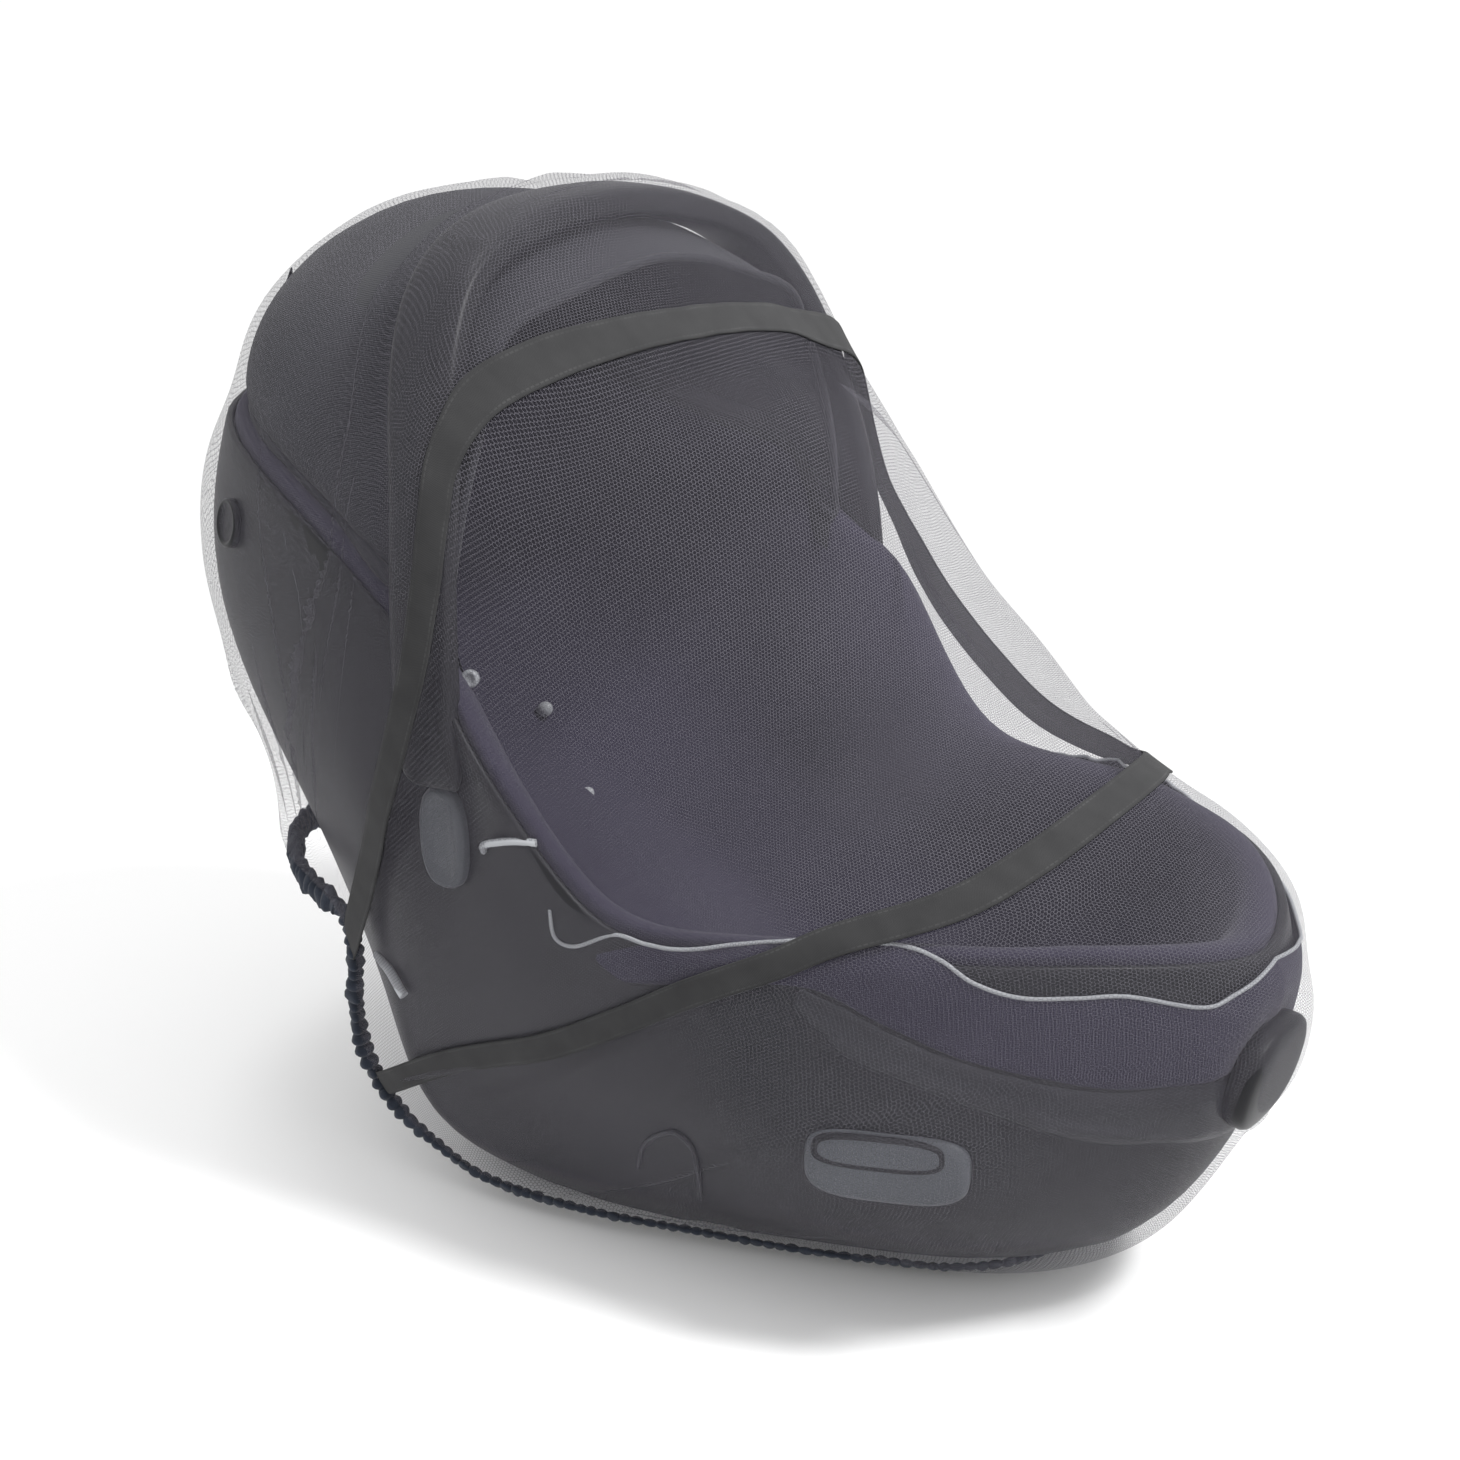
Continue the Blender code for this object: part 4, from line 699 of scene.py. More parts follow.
class Seat:
    """How far the soft and moulded parts of the seat fill the net, by direction."""

    def __init__(self, form):
        places = form.directions
        body = cast(node_tree(("seat_shell", "seat_liner", "seat_canopy")), places)
        fitted = near_side(node_tree(("carry_handle", "handle_hub_near", "handle_hub_far",
                                      "belt_guide_near", "belt_guide_far", "foot_cap")), places)
        fitted = np.where(np.isnan(fitted), 9.0, fitted)
        reach = np.linalg.norm(form.point(places) - HEART, axis=-1)
        spots = HEART + places * np.nan_to_num(body, nan=0.3)[..., None]
        y, z = spots[..., 1], spots[..., 2]
        under_liner = (1.0 - step_up(z, 0.235, 0.26)) * (1.0 - step_up(y, -0.1, -0.04))
        under_liner *= step_up(z, 0.14, 0.17)
        reach_in = reach - SEAT_GAP - OVERHANG * under_liner
        room = np.minimum(reach_in, shrunk(fitted) - 0.0015)
        mask = step_up(z, 0.018, 0.05)
        mask = mask * (1.0 - step_up(y, 0.08, 0.16) * (1.0 - step_up(z, 0.17, 0.3)))
        mask = mask * (1.0 - step_up(z, 0.3, 0.36) * (1.0 - step_up(y, 0.03, 0.08)))
        limit = 0.045 + 0.03 * step_up(z, 0.36, 0.46)
        rise = np.clip(room - body, 0.0, limit) * mask
        rise = np.nan_to_num(filled(rise), nan=0.0)
        top = np.where(np.isnan(body), 9.0, reach_in + 0.0004 - np.nan_to_num(body))
        for _ in range(4):
            rise = np.clip(np.minimum(blurred(rise), top), 0.0, 1.0)
        handle = node_tree(("carry_handle",))
        outer, inner = cast(handle, places), near_side(handle, places)
        lift = np.clip(reach - HANDLE_GAP - outer, 0.0, 0.03)
        self.lift = blurred(blurred(filled(lift, 12)))
        self.inner = filled(inner, 12)
        self.thick = filled(np.where(np.isnan(outer), np.nan, outer - inner), 12)
        self.form = form
        self.rise = rise
        self.body = np.nan_to_num(filled(body), nan=0.3)

    def placed(self, points):
        """Points of the seat moved out to where the net lies on it."""
        offset = points - HEART
        radius = np.linalg.norm(offset, axis=-1)
        direction = offset / np.maximum(radius, 1e-9)[..., None]
        rise = self.form.value(self.rise, direction)
        outer = self.form.value(self.body, direction)
        share = np.clip(radius / outer, 0.0, 1.0) ** 2
        moved = direction * (rise * share)[..., None]
        moved[..., 2] *= step_up(points[..., 2], 0.02, 0.12)
        for place, reach, height in LOBES:
            gap = np.linalg.norm(points - np.array(place), axis=-1) / reach
            moved += unit(np.array(place) - HEART) * (height * np.exp(-gap ** 2))[..., None]
        return points + moved

    def thickened(self, points):
        """Points of the handle, its outer face moved out to the net."""
        offset = points - HEART
        radius = np.linalg.norm(offset, axis=-1)
        direction = offset / radius[..., None]
        lift, inner, thick = (np.nan_to_num(self.form.value(np.nan_to_num(grid), direction))
                              for grid in (self.lift, self.inner, self.thick))
        share = np.clip((radius - inner) / np.maximum(thick, 0.004), 0.0, 1.0)
        amount = lift * share * step_up(points[..., 2], 0.42, 0.5)
        return points + direction * amount[..., None]

    def on(self, points, height, clear=TRIM_GAP):
        """Points laid on the seat's outer face, under the net."""
        direction = unit(np.asarray(points, float) - HEART)
        outer = self.form.value(self.body, direction) + self.form.value(self.rise, direction)
        net = np.linalg.norm(self.form.point(direction) - HEART, axis=-1)
        return HEART + direction * np.minimum(outer + height, net - clear)[..., None]


class Layout:
    """Tape line, its sides, and where each column of the net meets the hem."""

    def __init__(self, form):
        self.ring = resample(smooth_curve(HEM_EDGE, 8, closed=True), 1440, closed=True)
        points = np.array([row[0] for row in TAPE_LINE])
        for end in (0, -1):
            points[end] = self.ring[np.argmin(np.linalg.norm(self.ring - points[end], axis=1))]
        shares = np.array([row[1] for row in TAPE_LINE])
        line = smooth_curve(np.concatenate((points, shares[:, None]), axis=1), 16)
        line = resample(line, 4001)
        share = np.linspace(0.0, 1.0, 4001)
        crowd = 1.0 + 2.2 * (1.0 - step_up(share, 0.2, 0.26) * (1.0 - step_up(share, 0.74, 0.8)))
        passed = np.concatenate(([0.0], np.cumsum(0.5 * (crowd[1:] + crowd[:-1]))))
        wanted = np.linspace(0.0, passed[-1], TAPE_COLUMNS)
        line = np.stack([np.interp(wanted, passed, line[:, k]) for k in range(4)], axis=-1)
        self.direction = unit(line[:, :3] - HEART)
        self.line = form.point(self.direction, folds=False)
        along = unit(np.gradient(self.line, axis=0))
        outward = unit(np.cross(along, self.direction))
        if np.sum(outward * (self.direction - unit(np.array(PANEL_HEART) - HEART))) < 0.0:
            outward = -outward
        for end, order in ((0, range(13)), (-1, range(-1, -14, -1))):
            spot = int(np.argmin(np.linalg.norm(self.ring - points[end], axis=1)))
            hem = unit(self.ring[(spot + 8) % len(self.ring)] - self.ring[spot - 8])
            hem = hem * np.sign(np.dot(hem, outward[end]))
            for step, k in enumerate(order):
                outward[k] = unit(hem + (outward[k] - hem) * step / 13.0)
        self.along = along
        self.outward = outward
        x, y = self.line[:, 0], self.line[:, 1]
        amount = TILT * step_up(x, 0.12, 0.165) * step_up(y, -0.2, -0.15) * (1 - step_up(y, 0.0, 0.05))
        turned = amount > 1e-5
        form.turned = (self.line[turned], outward[turned], amount[turned])
        self.radius = np.linalg.norm(self.line - HEART, axis=1)[:, None]
        steps = np.linalg.norm(np.diff(self.line, axis=0), axis=1)
        self.along_line = np.concatenate(([0.0], np.cumsum(steps)))
        ring_direction = unit(self.ring - HEART)
        low = int(np.argmin(np.linalg.norm(ring_direction - self.direction[0], axis=1)))
        high = int(np.argmin(np.linalg.norm(ring_direction - self.direction[-1], axis=1)))
        total = np.linalg.norm(np.roll(self.ring, -1, axis=0) - self.ring, axis=1).sum()
        end = int(HEM_END / total * len(self.ring))
        start = low - end
        stop = high + end
        while stop < start:
            stop += len(self.ring)
        stop -= len(self.ring)
        self.hem = at(self.ring, start + line[:, 3] * (stop - start))
        self.mouth = at(self.ring, np.linspace(low, high, PANEL_ROWS + 1))

    def shifted(self, width):
        """Directions beside the tape line."""
        return unit(self.direction + self.outward * width / self.radius)


def make_net(form, layout, tulle):
    """The net's body and its front panel."""
    first = layout.shifted(SEAM_GAP / 2)
    hem = unit(layout.hem - HEART)
    steps = np.linspace(0.0, 1.0, BODY_ROWS + 1)
    rows = np.array([between(first, hem, step) for step in steps])
    body = form.point(rows)
    turn_in = step_up(np.arange(BODY_ROWS + 1) / BODY_ROWS, 0.93, 1.0)[:, None, None]
    body = body + (layout.hem - body[-1]) * turn_in
    lengths = np.linalg.norm(np.diff(body, axis=0), axis=2)
    down = np.concatenate((np.zeros((1, TAPE_COLUMNS)), np.cumsum(lengths, axis=0)))
    flat = form.point(rows, folds=False)
    taken = (np.linalg.norm(np.diff(body, axis=1), axis=2)
             - np.linalg.norm(np.diff(flat, axis=1), axis=2))
    start = np.zeros((BODY_ROWS + 1, 1))
    spare = np.concatenate((start, np.cumsum(np.maximum(taken, 0.0), axis=1)), axis=1)
    passed = layout.along_line
    body_piece = grid_object("net_body_tulle", body,
                             lambda r, c: np.stack((passed[c] + spare[r, c], down[r, c]), axis=-1))
    face_away(body_piece)

    seam = layout.shifted(-SEAM_GAP / 2)
    half = TAPE_COLUMNS // 2
    steps = np.linspace(0.0, 1.0, PANEL_ROWS + 1)[:, None]
    rungs = np.array([between(seam[k][None], seam[-1 - k][None], steps) for k in range(half)])
    panel = form.point(rungs)
    panel[0] = layout.mouth
    blend = np.linspace(1.0, 0.0, 8)[1:-1]
    for k, share in enumerate(blend, start=1):
        drawn = unit(layout.mouth - HEART)
        panel[k] = form.point(unit(rungs[k] * (1 - 0.5 * share ** 2) + drawn * 0.5 * share ** 2))
        panel[k][0], panel[k][-1] = form.point(rungs[k][[0, -1]])
    width = np.linalg.norm(np.diff(panel, axis=1), axis=2).sum(axis=1)
    panel_piece = grid_object(
        "net_panel_tulle", panel,
        lambda r, c: np.stack((passed[r], (c / PANEL_ROWS - 0.5) * width[np.minimum(r, half - 1)]),
                              axis=-1))
    face_away(panel_piece)
    for piece, node in ((body_piece, "net_body"), (panel_piece, "net_panel")):
        finish_piece(piece, tulle)
        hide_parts(node)
    return body_piece, panel_piece


def make_tape(form, layout, material, back):
    """Flat tape sewn over the seam."""
    profile = np.array(((-1.0, 0.15), (-0.985, 0.85), (-0.9, 1.0), (-0.5, 1.0), (0.0, 1.0), (0.5, 1.0),
                        (0.9, 1.0), (0.985, 0.85), (1.0, 0.15), (0.9, 0.0), (0.5, 0.0), (0.0, 0.0),
                        (-0.5, 0.0), (-0.9, 0.0)))
    rows = []
    for side, _ in profile:
        rows.append(form.point(layout.shifted(side * TAPE_WIDTH / 2), folds=False))
    rows = np.array(rows)
    normal = np.cross(layout.along, unit(rows[8] - rows[0]))
    normal = unit(normal * np.sign(np.sum(normal * layout.direction, axis=1))[:, None])
    for k, (_, level) in enumerate(profile):
        rows[k] += normal * (0.0005 + TAPE_THICK * level)
    passed = layout.along_line
    across = profile[:, 0] * TAPE_WIDTH / 2
    tape = grid_object("woven_panel_tape", rows,
                       lambda r, c: np.stack((passed[c], across[r % len(across)]), axis=-1),
                       closed_rows=True)
    bm = bmesh.new()
    bm.from_mesh(tape.data)
    bmesh.ops.holes_fill(bm, edges=[edge for edge in bm.edges if edge.is_boundary], sides=0)
    bmesh.ops.recalc_face_normals(bm, faces=bm.faces)
    bm.to_mesh(tape.data)
    bm.free()
    finish_piece(tape, material)
    tape.data.materials.append(back)
    # The underside faces take the second material, a copy of the tape cloth painted about four times
    # lighter: painted light on the tape's inner face, seen through the net on the far side.
    steps = TAPE_COLUMNS - 1
    under = [8 * steps <= polygon.index < 13 * steps for polygon in tape.data.polygons]
    tape.data.polygons.foreach_set("material_index", np.array(under, dtype=np.int32))
    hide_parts("panel_tape")
    return tape


def make_hem(layout, material):
    """Gathered elastic binding along the whole edge of the net."""
    count = HEM_SAMPLES
    edge = resample(layout.ring, count, closed=True)
    along = unit(np.roll(edge, -1, axis=0) - np.roll(edge, 1, axis=0))
    outward = unit(edge - HEART)
    down = unit(np.cross(along, outward))
    if np.sum(down[:, 2]) > 0.0:
        down = -down
    across = unit(np.cross(along, down))
    total = np.linalg.norm(np.roll(edge, -1, axis=0) - edge, axis=1).sum()
    turns = np.arange(count) / count
    random = np.random.default_rng(7)
    drift = sum(random.normal() * np.sin(2 * math.pi * (turns * f + random.random()))
                for f in (9, 17, 31, 53, 71))
    gathers = round(total / GATHER)
    phase = 2 * math.pi * turns * gathers + 0.8 * drift
    number = np.floor(phase / (2 * math.pi)).astype(int) % gathers
    puff = random.uniform(0.75, 1.25, gathers)[number]
    lean = random.uniform(-1.0, 1.0, gathers)[number]
    round_top = np.abs(np.sin(phase / 2)) ** 0.6
    size = (0.62 - 0.14 * (1.0 - step_up(edge[:, 1], -0.05, 0.05))
            + 0.5 * step_up(edge[:, 2], 0.02, 0.06))
    rings = []
    for j in range(16):
        turn = 2 * math.pi * j / 16
        pleat = 0.62 + 0.56 * puff * round_top
        lobe = 1.0 + 0.16 * np.sin(3 * turn + 2.4 * lean) * round_top
        tall = (0.0066 * size * pleat * lobe)[:, None]
        wide = (0.0039 * size * pleat * lobe)[:, None]
        sway = (0.0007 * lean * round_top)[:, None]
        rings.append(edge + down * (0.0058 * size[:, None] + tall * math.cos(turn) + sway)
                     + outward * 0.0004 + across * (wide * math.sin(turn)))
    rows = np.array(rings)
    spacing = total / count
    hem = grid_object("gathered_hem", rows,
                      lambda r, c: np.stack((c * spacing, r * 0.0025), axis=-1),
                      closed_rows=True, closed_columns=True)
    bm = bmesh.new()
    bm.from_mesh(hem.data)
    bmesh.ops.recalc_face_normals(bm, faces=bm.faces)
    bm.to_mesh(hem.data)
    bm.free()
    finish_piece(hem, material)
    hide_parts("hem_binding")
    return hem


def smooth_copy(node, name, material, levels, seat=None, crease=0.0, angle=50.0):
    """Rounded version of a CAD node that stands for it, filled out to the net if a seat is given."""
    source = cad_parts[node]
    mesh = source.data.copy()
    mesh.name = name
    bm = bmesh.new()
    bm.from_mesh(mesh)
    bmesh.ops.remove_doubles(bm, verts=bm.verts, dist=1e-5)
    bmesh.ops.join_triangles(bm, faces=bm.faces, angle_face_threshold=0.45,
                             angle_shape_threshold=1.2)
    bmesh.ops.recalc_face_normals(bm, faces=bm.faces)
    if crease > 0.0:
        layer = bm.edges.layers.float.get("crease_edge") or bm.edges.layers.float.new("crease_edge")
        for edge in bm.edges:
            if len(edge.link_faces) == 2 and edge.calc_face_angle() > math.radians(angle):
                edge[layer] = crease
    if seat:
        places = np.array([vertex.co for vertex in bm.verts])
        places = seat.thickened(places) if node == "carry_handle" else seat.placed(places)
        for vertex, place in zip(bm.verts, places):
            vertex.co = place
    bm.to_mesh(mesh)
    bm.free()
    mesh.shade_smooth()
    piece = bpy.data.objects.new(name, mesh)
    bpy.context.scene.collection.objects.link(piece)
    if levels:
        rounding = piece.modifiers.new("rounding", "SUBSURF")
        rounding.levels = levels
        rounding.render_levels = levels
    finish_piece(piece, material)
    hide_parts(node)
    return piece


def tube(name, path, radius, material):
    """Tube along a path."""
    curve = bpy.data.curves.new(name, "CURVE")
    curve.dimensions = "3D"
    curve.bevel_depth = radius
    curve.bevel_resolution = TUBE_ROUNDING
    curve.use_fill_caps = True
    spline = curve.splines.new("POLY")
    spline.points.add(len(path) - 1)
    for point, place in zip(spline.points, path):
        point.co = (*place, 1.0)
    raw = bpy.data.objects.new(name, curve)
    bpy.context.scene.collection.objects.link(raw)
    mesh = bpy.data.meshes.new_from_object(raw.evaluated_get(bpy.context.evaluated_depsgraph_get()))
    bpy.data.objects.remove(raw)
    mesh.name = name
    mesh.shade_smooth()
    piece = bpy.data.objects.new(name, mesh)
    bpy.context.scene.collection.objects.link(piece)
    return finish_piece(piece, material)


def boss(name, centre, wide, tall, half, power, levels, material):
    """Moulded plate with a rounded outline, stacked from (inset, height) levels."""
    wide = Vector(wide).normalized()
    normal = wide.cross(Vector(tall)).normalized()
    tall = normal.cross(wide).normalized()
    if normal.dot(Vector(centre) - Vector(HEART)) < 0.0:
        normal = -normal
    count = BOSS_SIDES
    bm = bmesh.new()
    rings = []
    for inset, height in levels:
        ring = []
        for k in range(count):
            turn = 2 * math.pi * k / count
            c, s = math.cos(turn), math.sin(turn)
            a = (half[0] - inset) * math.copysign(abs(c) ** (2 / power), c)
            b = (half[1] - inset) * math.copysign(abs(s) ** (2 / power), s)
            ring.append(bm.verts.new(Vector(centre) + wide * a + tall * b + normal * height))
        rings.append(ring)
    for low, high in zip(rings, rings[1:]):
        for k in range(count):
            bm.faces.new((low[k], low[(k + 1) % count], high[(k + 1) % count], high[k]))
    for ring in (rings[0], rings[-1]):
        bm.faces.new(ring)
    bmesh.ops.recalc_face_normals(bm, faces=bm.faces)
    mesh = bpy.data.meshes.new(name)
    bm.to_mesh(mesh)
    bm.free()
    mesh.shade_smooth()
    piece = bpy.data.objects.new(name, mesh)
    bpy.context.scene.collection.objects.link(piece)
    return finish_piece(piece, material)


def mirrored(path, side):
    """Path on the near side (-1) or the far side (1)."""
    return np.asarray(path, float) * np.array((-side, 1.0, 1.0))


def band_between(seat, name, top, foot, height, steps, clear, material):
    """Strip on the seat's outer face between two lines, raised by a height for each row and column."""
    share = np.linspace(0.0, 1.0, steps)[:, None, None]
    spots = unit(top * (1.0 - share) + foot * share - HEART)
    strip = grid_object(name, seat.on(HEART + spots * 0.3, height(share[..., 0]), clear),
                        lambda r, c: np.stack((c * 0.005, r * 0.003), axis=-1))
    face_away(strip)
    finish_piece(strip, material)


def liner_edge(seat, side, word, light, quilt):
    """Light piping along the liner's edge and the edge itself, turned over the shell."""
    rim = seat.on(smooth_curve(mirrored(PIPING, side), 8), 0.0028, 0.0016)
    tube("rim_piping_" + word, rim, 0.0011, light)
    foot = smooth_curve(mirrored(OVERHANG_START + BAND_TOP, side), 8)
    fade = step_up(np.linspace(0.0, 1.0, 70), 0.0, 0.2)

    def height(share):
        swell = 0.0004 + 0.0026 * np.sin(math.pi * np.minimum(0.3 + 0.62 * share, 1.0)) ** 0.7
        swell[-1] = -0.001
        return (swell + 0.0012) * fade - 0.0012

    band_between(seat, "liner_overhang_" + word, resample(rim, 70), resample(foot, 70), height, 15,
                 0.002, quilt)


def shell_lines(seat, side, word, plastic, light):
    """Moulded band, ridge, handle stop and belt hook on one side of the shell."""
    top = resample(smooth_curve(mirrored(BAND_TOP, side), 8), 60)
    foot = resample(smooth_curve(mirrored(BAND_FOOT, side), 8), 60)
    fade = np.sin(math.pi * np.minimum(np.linspace(0.05, 1.0, 60), 0.5))
    # The band is drawn in the lighter plastic passed in, a painted highlight along it.
    band_between(seat, "shell_band_" + word, top, foot,
                 lambda share: (0.0028 * (1.0 - np.abs(2.0 * share - 1.0) ** 3.5) - 0.0006) * fade,
                 13, TRIM_GAP, plastic)
    for name, path, steps, height, radius, material, slot in (
            ("shell_arch_", SHELL_ARCH, 10, 0.0002, 0.0014, plastic, "shell"),
            ("handle_stop_", LIGHT_ARC, 8, 0.001, 0.0022, light, "grey_plastic"),
            ("belt_hook_", LEVER, 8, 0.002, 0.003, light, "grey_plastic")):
        line = seat.on(smooth_curve(mirrored(path, side), steps), height)
        tube(name + word, line, radius, material)


def fittings(seat, side, word, grey, dark):
    """Hub, belt guide with its slot, and hood button on one side."""
    wide, tall = (0.43 * -side, -0.9, 0.0), (0.16 * -side, -0.08, 0.98)
    hub = boss("hub_" + word, (side * 0.1925, 0.054, 0.254), (0.0, 1.0, 0.0), (0.0, 0.18, 1.0),
               (0.0165, 0.029), 2.6, HUB_LEVELS, grey)
    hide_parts("handle_hub_" + word)
    guide = boss("guide_" + word, (side * 0.1495, -0.2, 0.1215), wide, tall, (0.0425, 0.02), 3.4,
                 GUIDE_LEVELS, grey)
    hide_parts("belt_guide_" + word)
    boss("belt_slot_" + word, (side * 0.1568, -0.1985, 0.1305), wide, tall, (0.034, 0.0095), 3.2,
         SLOT_LEVELS, dark)
    spot = np.array((side * 0.162, 0.25, 0.385))
    around = np.array(((0, 0, 0), (0.004 * side, -0.008, 0), (0, 0, 0.01)))
    place, aside, above = seat.on(spot + around, 0.0)
    boss("hood_button_" + word, tuple(place), tuple(aside - place), tuple(above - place),
         (0.0145, 0.0145), 2.0, BUTTON_LEVELS, dark)


def hood_foot(spots, side):
    """Lower edge of the CAD hood on one side, from its front to the head end."""
    half = spots[spots[:, 0] * side > 0.0]
    rows = []
    for y in np.linspace(spots[:, 1].min() + 0.004, spots[:, 1].max() - 0.002, 22):
        row = half[np.abs(half[:, 1] - y) < 0.012]
        if len(row):
            rows.append(row[np.argmin(row[:, 2])])
    rows = np.array(rows)
    for _ in range(4):
        rows[1:-1] = 0.25 * rows[:-2] + 0.5 * rows[1:-1] + 0.25 * rows[2:]
    return rows


def hood_crown(spots):
    """Lower edge of the CAD hood at the head end."""
    rear = spots[(spots[:, 1] > 0.29) & (np.abs(spots[:, 0]) < 0.11)]
    rim = []
    for x in np.linspace(-0.09, 0.09, 31):
        row = rear[np.abs(rear[:, 0] - x) < 0.012]
        rim.append((x, *row[np.argmin(row[:, 2])][1:]))
    return np.array(rim)


def hood_trims(seat, cloth):
    """Bindings of the hood and the strip of its cloth that tucks into the shell."""
    spots = np.array([vertex.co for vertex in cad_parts["seat_canopy"].data.vertices])
    edge = spots[spots[:, 1] < spots[:, 1].min() + 0.0035]
    turn = np.arctan2(edge[:, 2] - 0.3, edge[:, 0])
    edge = seat.placed(edge[np.argsort(turn)])
    bins = np.linspace(turn.min(), turn.max(), 40)
    order = np.sort(turn)
    path = np.array([edge[(order >= a) & (order <= b)].mean(axis=0) for a, b in zip(bins, bins[1:])
                     if np.any((order >= a) & (order <= b))])
    tube("hood_edge_binding", smooth_curve(path, 4), 0.0026, cloth)
    feet = []
    for side, word in ((-1, "near"), (1, "far")):
        rows = hood_foot(spots, side)
        foot = seat.placed(smooth_curve(rows, 4))
        tube("hood_foot_binding_" + word, foot - np.array((0.0, 0.0, 0.002)), 0.0045, cloth)
        feet.append(rows[rows[:, 1] < 0.285])
    track = np.concatenate((feet[0], hood_crown(spots), feet[1][::-1]))
    line = resample(smooth_curve(track, 4), 180)
    inward = -unit((line - np.array((0.0, 0.08, 0.0))) * np.array((1.0, 1.0, 0.0)))
    share = np.linspace(0.0, 1.0, 12)[:, None, None]
    tucked = np.minimum(line[:, 2] - 0.018, 0.43)
    strip = line + inward * (0.0015 + 0.003 * share)
    strip[..., 2] = (line[:, 2] + 0.008) * (1.0 - share[..., 0]) + tucked * share[..., 0]
    skirt = grid_object("hood_skirt", seat.placed(strip),
                        lambda r, c: np.stack((c * 0.004, r * 0.003), axis=-1))
    face_away(skirt)
    finish_piece(skirt, cloth)


def trims(seat, grey, light, dark, cloth, quilt):
    """Piping, ridges and small fittings of the seat."""
    # Painted highlight: the moulded band and the arch ridge use the shell's plastic made about twice as
    # light, standing in for the highlight along the band.
    plastic = plastic_material("band_plastic_painted_highlight", (0.022, 0.022, 0.026), (0.034, 0.034, 0.04), 0.36)
    for side, word in ((-1, "near"), (1, "far")):
        liner_edge(seat, side, word, light, quilt)
        shell_lines(seat, side, word, plastic, light)
        fittings(seat, side, word, grey, dark)
    cap = boss("foot_end_cap", (-0.004, -0.337, 0.157), (1.0, 0.0, 0.0), (0.0, -0.17, 0.98),
               (0.037, 0.03), 2.4, CAP_LEVELS, dark)
    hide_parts("foot_cap")
    for k, place in enumerate(SNAPS):
        spot = Vector(place) + (Vector((-0.6, -0.5, 0.4)) * 0.004)
        boss("strap_snap_%d" % k, tuple(spot), (0.5, -0.8, 0.0), (0.2, 0.1, 1.0), (0.005, 0.005), 2.0,
             SNAP_LEVELS, light)
    hood_trims(seat, cloth)


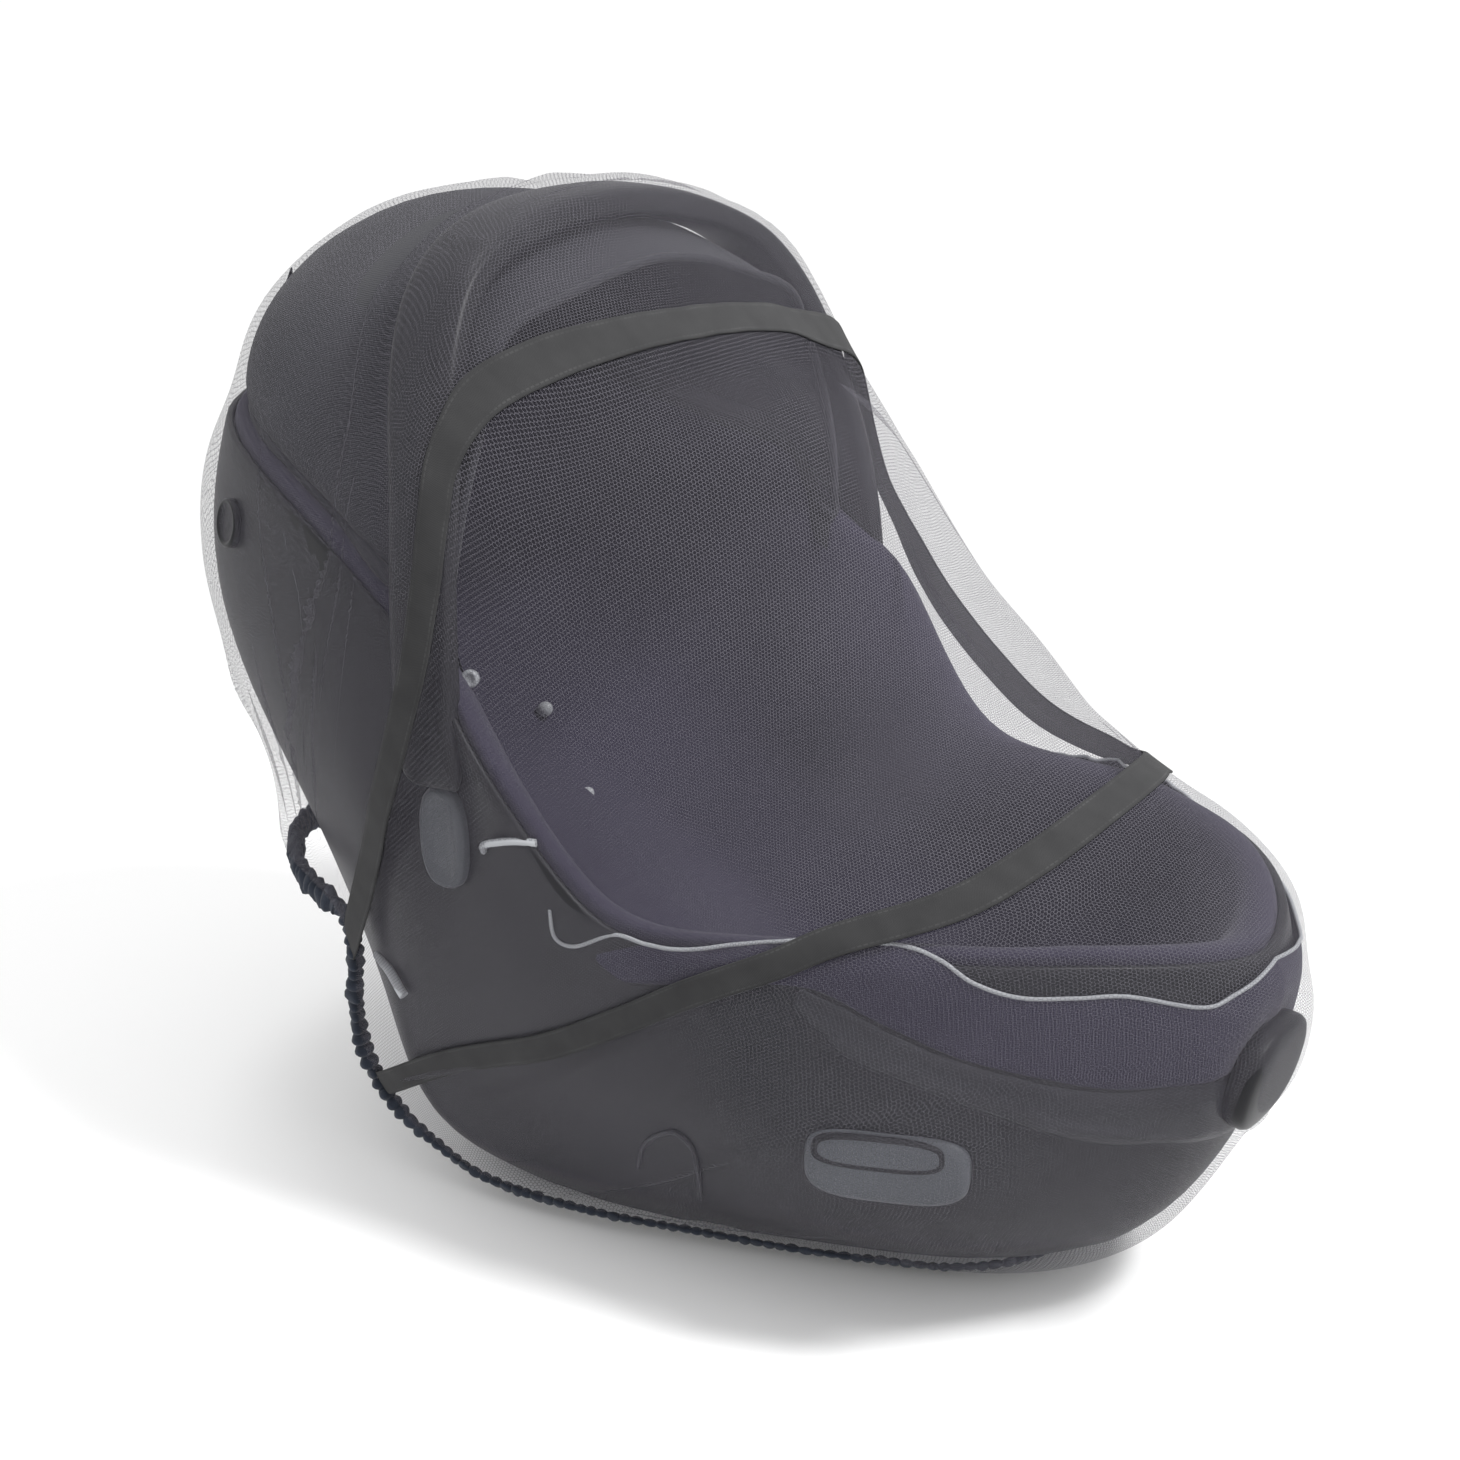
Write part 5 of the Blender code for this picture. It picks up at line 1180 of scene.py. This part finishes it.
def studio():
    """Floor, light and camera."""
    material, _, _ = surface("floor", (1.0, 1.0, 1.0), 0.9, specular=0.0)
    mesh = bpy.data.meshes.new("floor")
    mesh.from_pydata([(-40, -40, 0), (40, -40, 0), (40, 40, 0), (-40, 40, 0)], [], [(0, 1, 2, 3)])
    mesh.materials.append(material)
    floor = bpy.data.objects.new("floor", mesh)
    bpy.context.scene.collection.objects.link(floor)
    world = bpy.data.worlds.new("studio")
    world.use_nodes = True
    world.node_tree.nodes["Background"].inputs["Color"].default_value = (1.0, 1.0, 1.0, 1.0)
    world.node_tree.nodes["Background"].inputs["Strength"].default_value = 1.04
    bpy.context.scene.world = world
    bpy.context.scene.view_settings.view_transform = "Standard"
    for name, place, power in LAMPS:
        light = bpy.data.lights.new(name, "SPOT")
        light.shadow_soft_size = 0.4
        light.spot_size = math.radians(24.0)
        light.spot_blend = 0.6
        light.energy = power
        lamp = bpy.data.objects.new(name, light)
        lamp.location = place
        lamp.rotation_euler = (Vector((0, 0, 0.25)) - Vector(place)).to_track_quat("-Z", "Y").to_euler()
        bpy.context.scene.collection.objects.link(lamp)
    camera_data = bpy.data.cameras.new("camera")
    camera_data.lens = 50.0
    camera_data.sensor_width = 36.0
    camera = bpy.data.objects.new("camera", camera_data)
    turn, rise = math.radians(CAMERA_TURN), math.radians(CAMERA_RISE)
    back = Vector((math.sin(turn) * math.cos(rise), -math.cos(turn) * math.cos(rise), math.sin(rise)))
    camera.location = Vector(CAMERA_TARGET) + back * CAMERA_DISTANCE
    camera.rotation_euler = (-back).to_track_quat("-Z", "Y").to_euler()
    bpy.context.scene.collection.objects.link(camera)
    bpy.context.scene.camera = camera


def dress():
    """Build every visible piece."""
    studio()
    tulle = tulle_material()
    tape = tape_material()
    elastic = cloth_material("elastic_binding", (0.012, 0.015, 0.024), (0.03, 0.036, 0.05), 1400.0)
    liner = cloth_material("liner_cloth", (0.021, 0.018, 0.034), (0.04, 0.035, 0.06), 900.0)
    hood = cloth_material("hood_cloth", (0.018, 0.018, 0.022), (0.03, 0.03, 0.036), 1100.0)
    shell = plastic_material("shell_plastic", (0.010, 0.010, 0.012), (0.018, 0.018, 0.021), 0.42)
    grip = plastic_material("handle_plastic", (0.010, 0.010, 0.012), (0.02, 0.02, 0.023), 0.42)
    grey = plastic_material("grey_plastic", (0.075, 0.08, 0.09), (0.11, 0.117, 0.13), 0.38)
    light = plastic_material("light_plastic", (0.32, 0.33, 0.35), (0.42, 0.43, 0.45), 0.35)

    seat_nodes = [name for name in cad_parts
                  if not name.startswith(("net_", "panel_tape", "hem_"))]
    form = Form(node_tree(("net_body", "net_panel")), node_tree(seat_nodes))
    layout = Layout(form)
    make_net(form, layout, tulle)
    # Painted light: the tape's back is a lighter copy of the tape cloth, standing in for the light
    # falling on the far band's inner face.
    back = cloth_material("tape_back_painted_light", (0.15, 0.15, 0.148), (0.2, 0.2, 0.197), 1200.0, sheen=0.1)
    make_tape(form, layout, tape, back)
    make_hem(layout, elastic)

    seat = Seat(form)
    smooth_copy("seat_shell", "moulded_shell", shell, 2, seat, crease=0.5)
    smooth_copy("seat_liner", "padded_liner", liner, 2, seat)
    smooth_copy("seat_canopy", "fabric_hood", hood, 2, seat)
    smooth_copy("carry_handle", "handle_bar", grip, 2, seat)
    trims(seat, grey, light, shell, hood, liner)


dress()
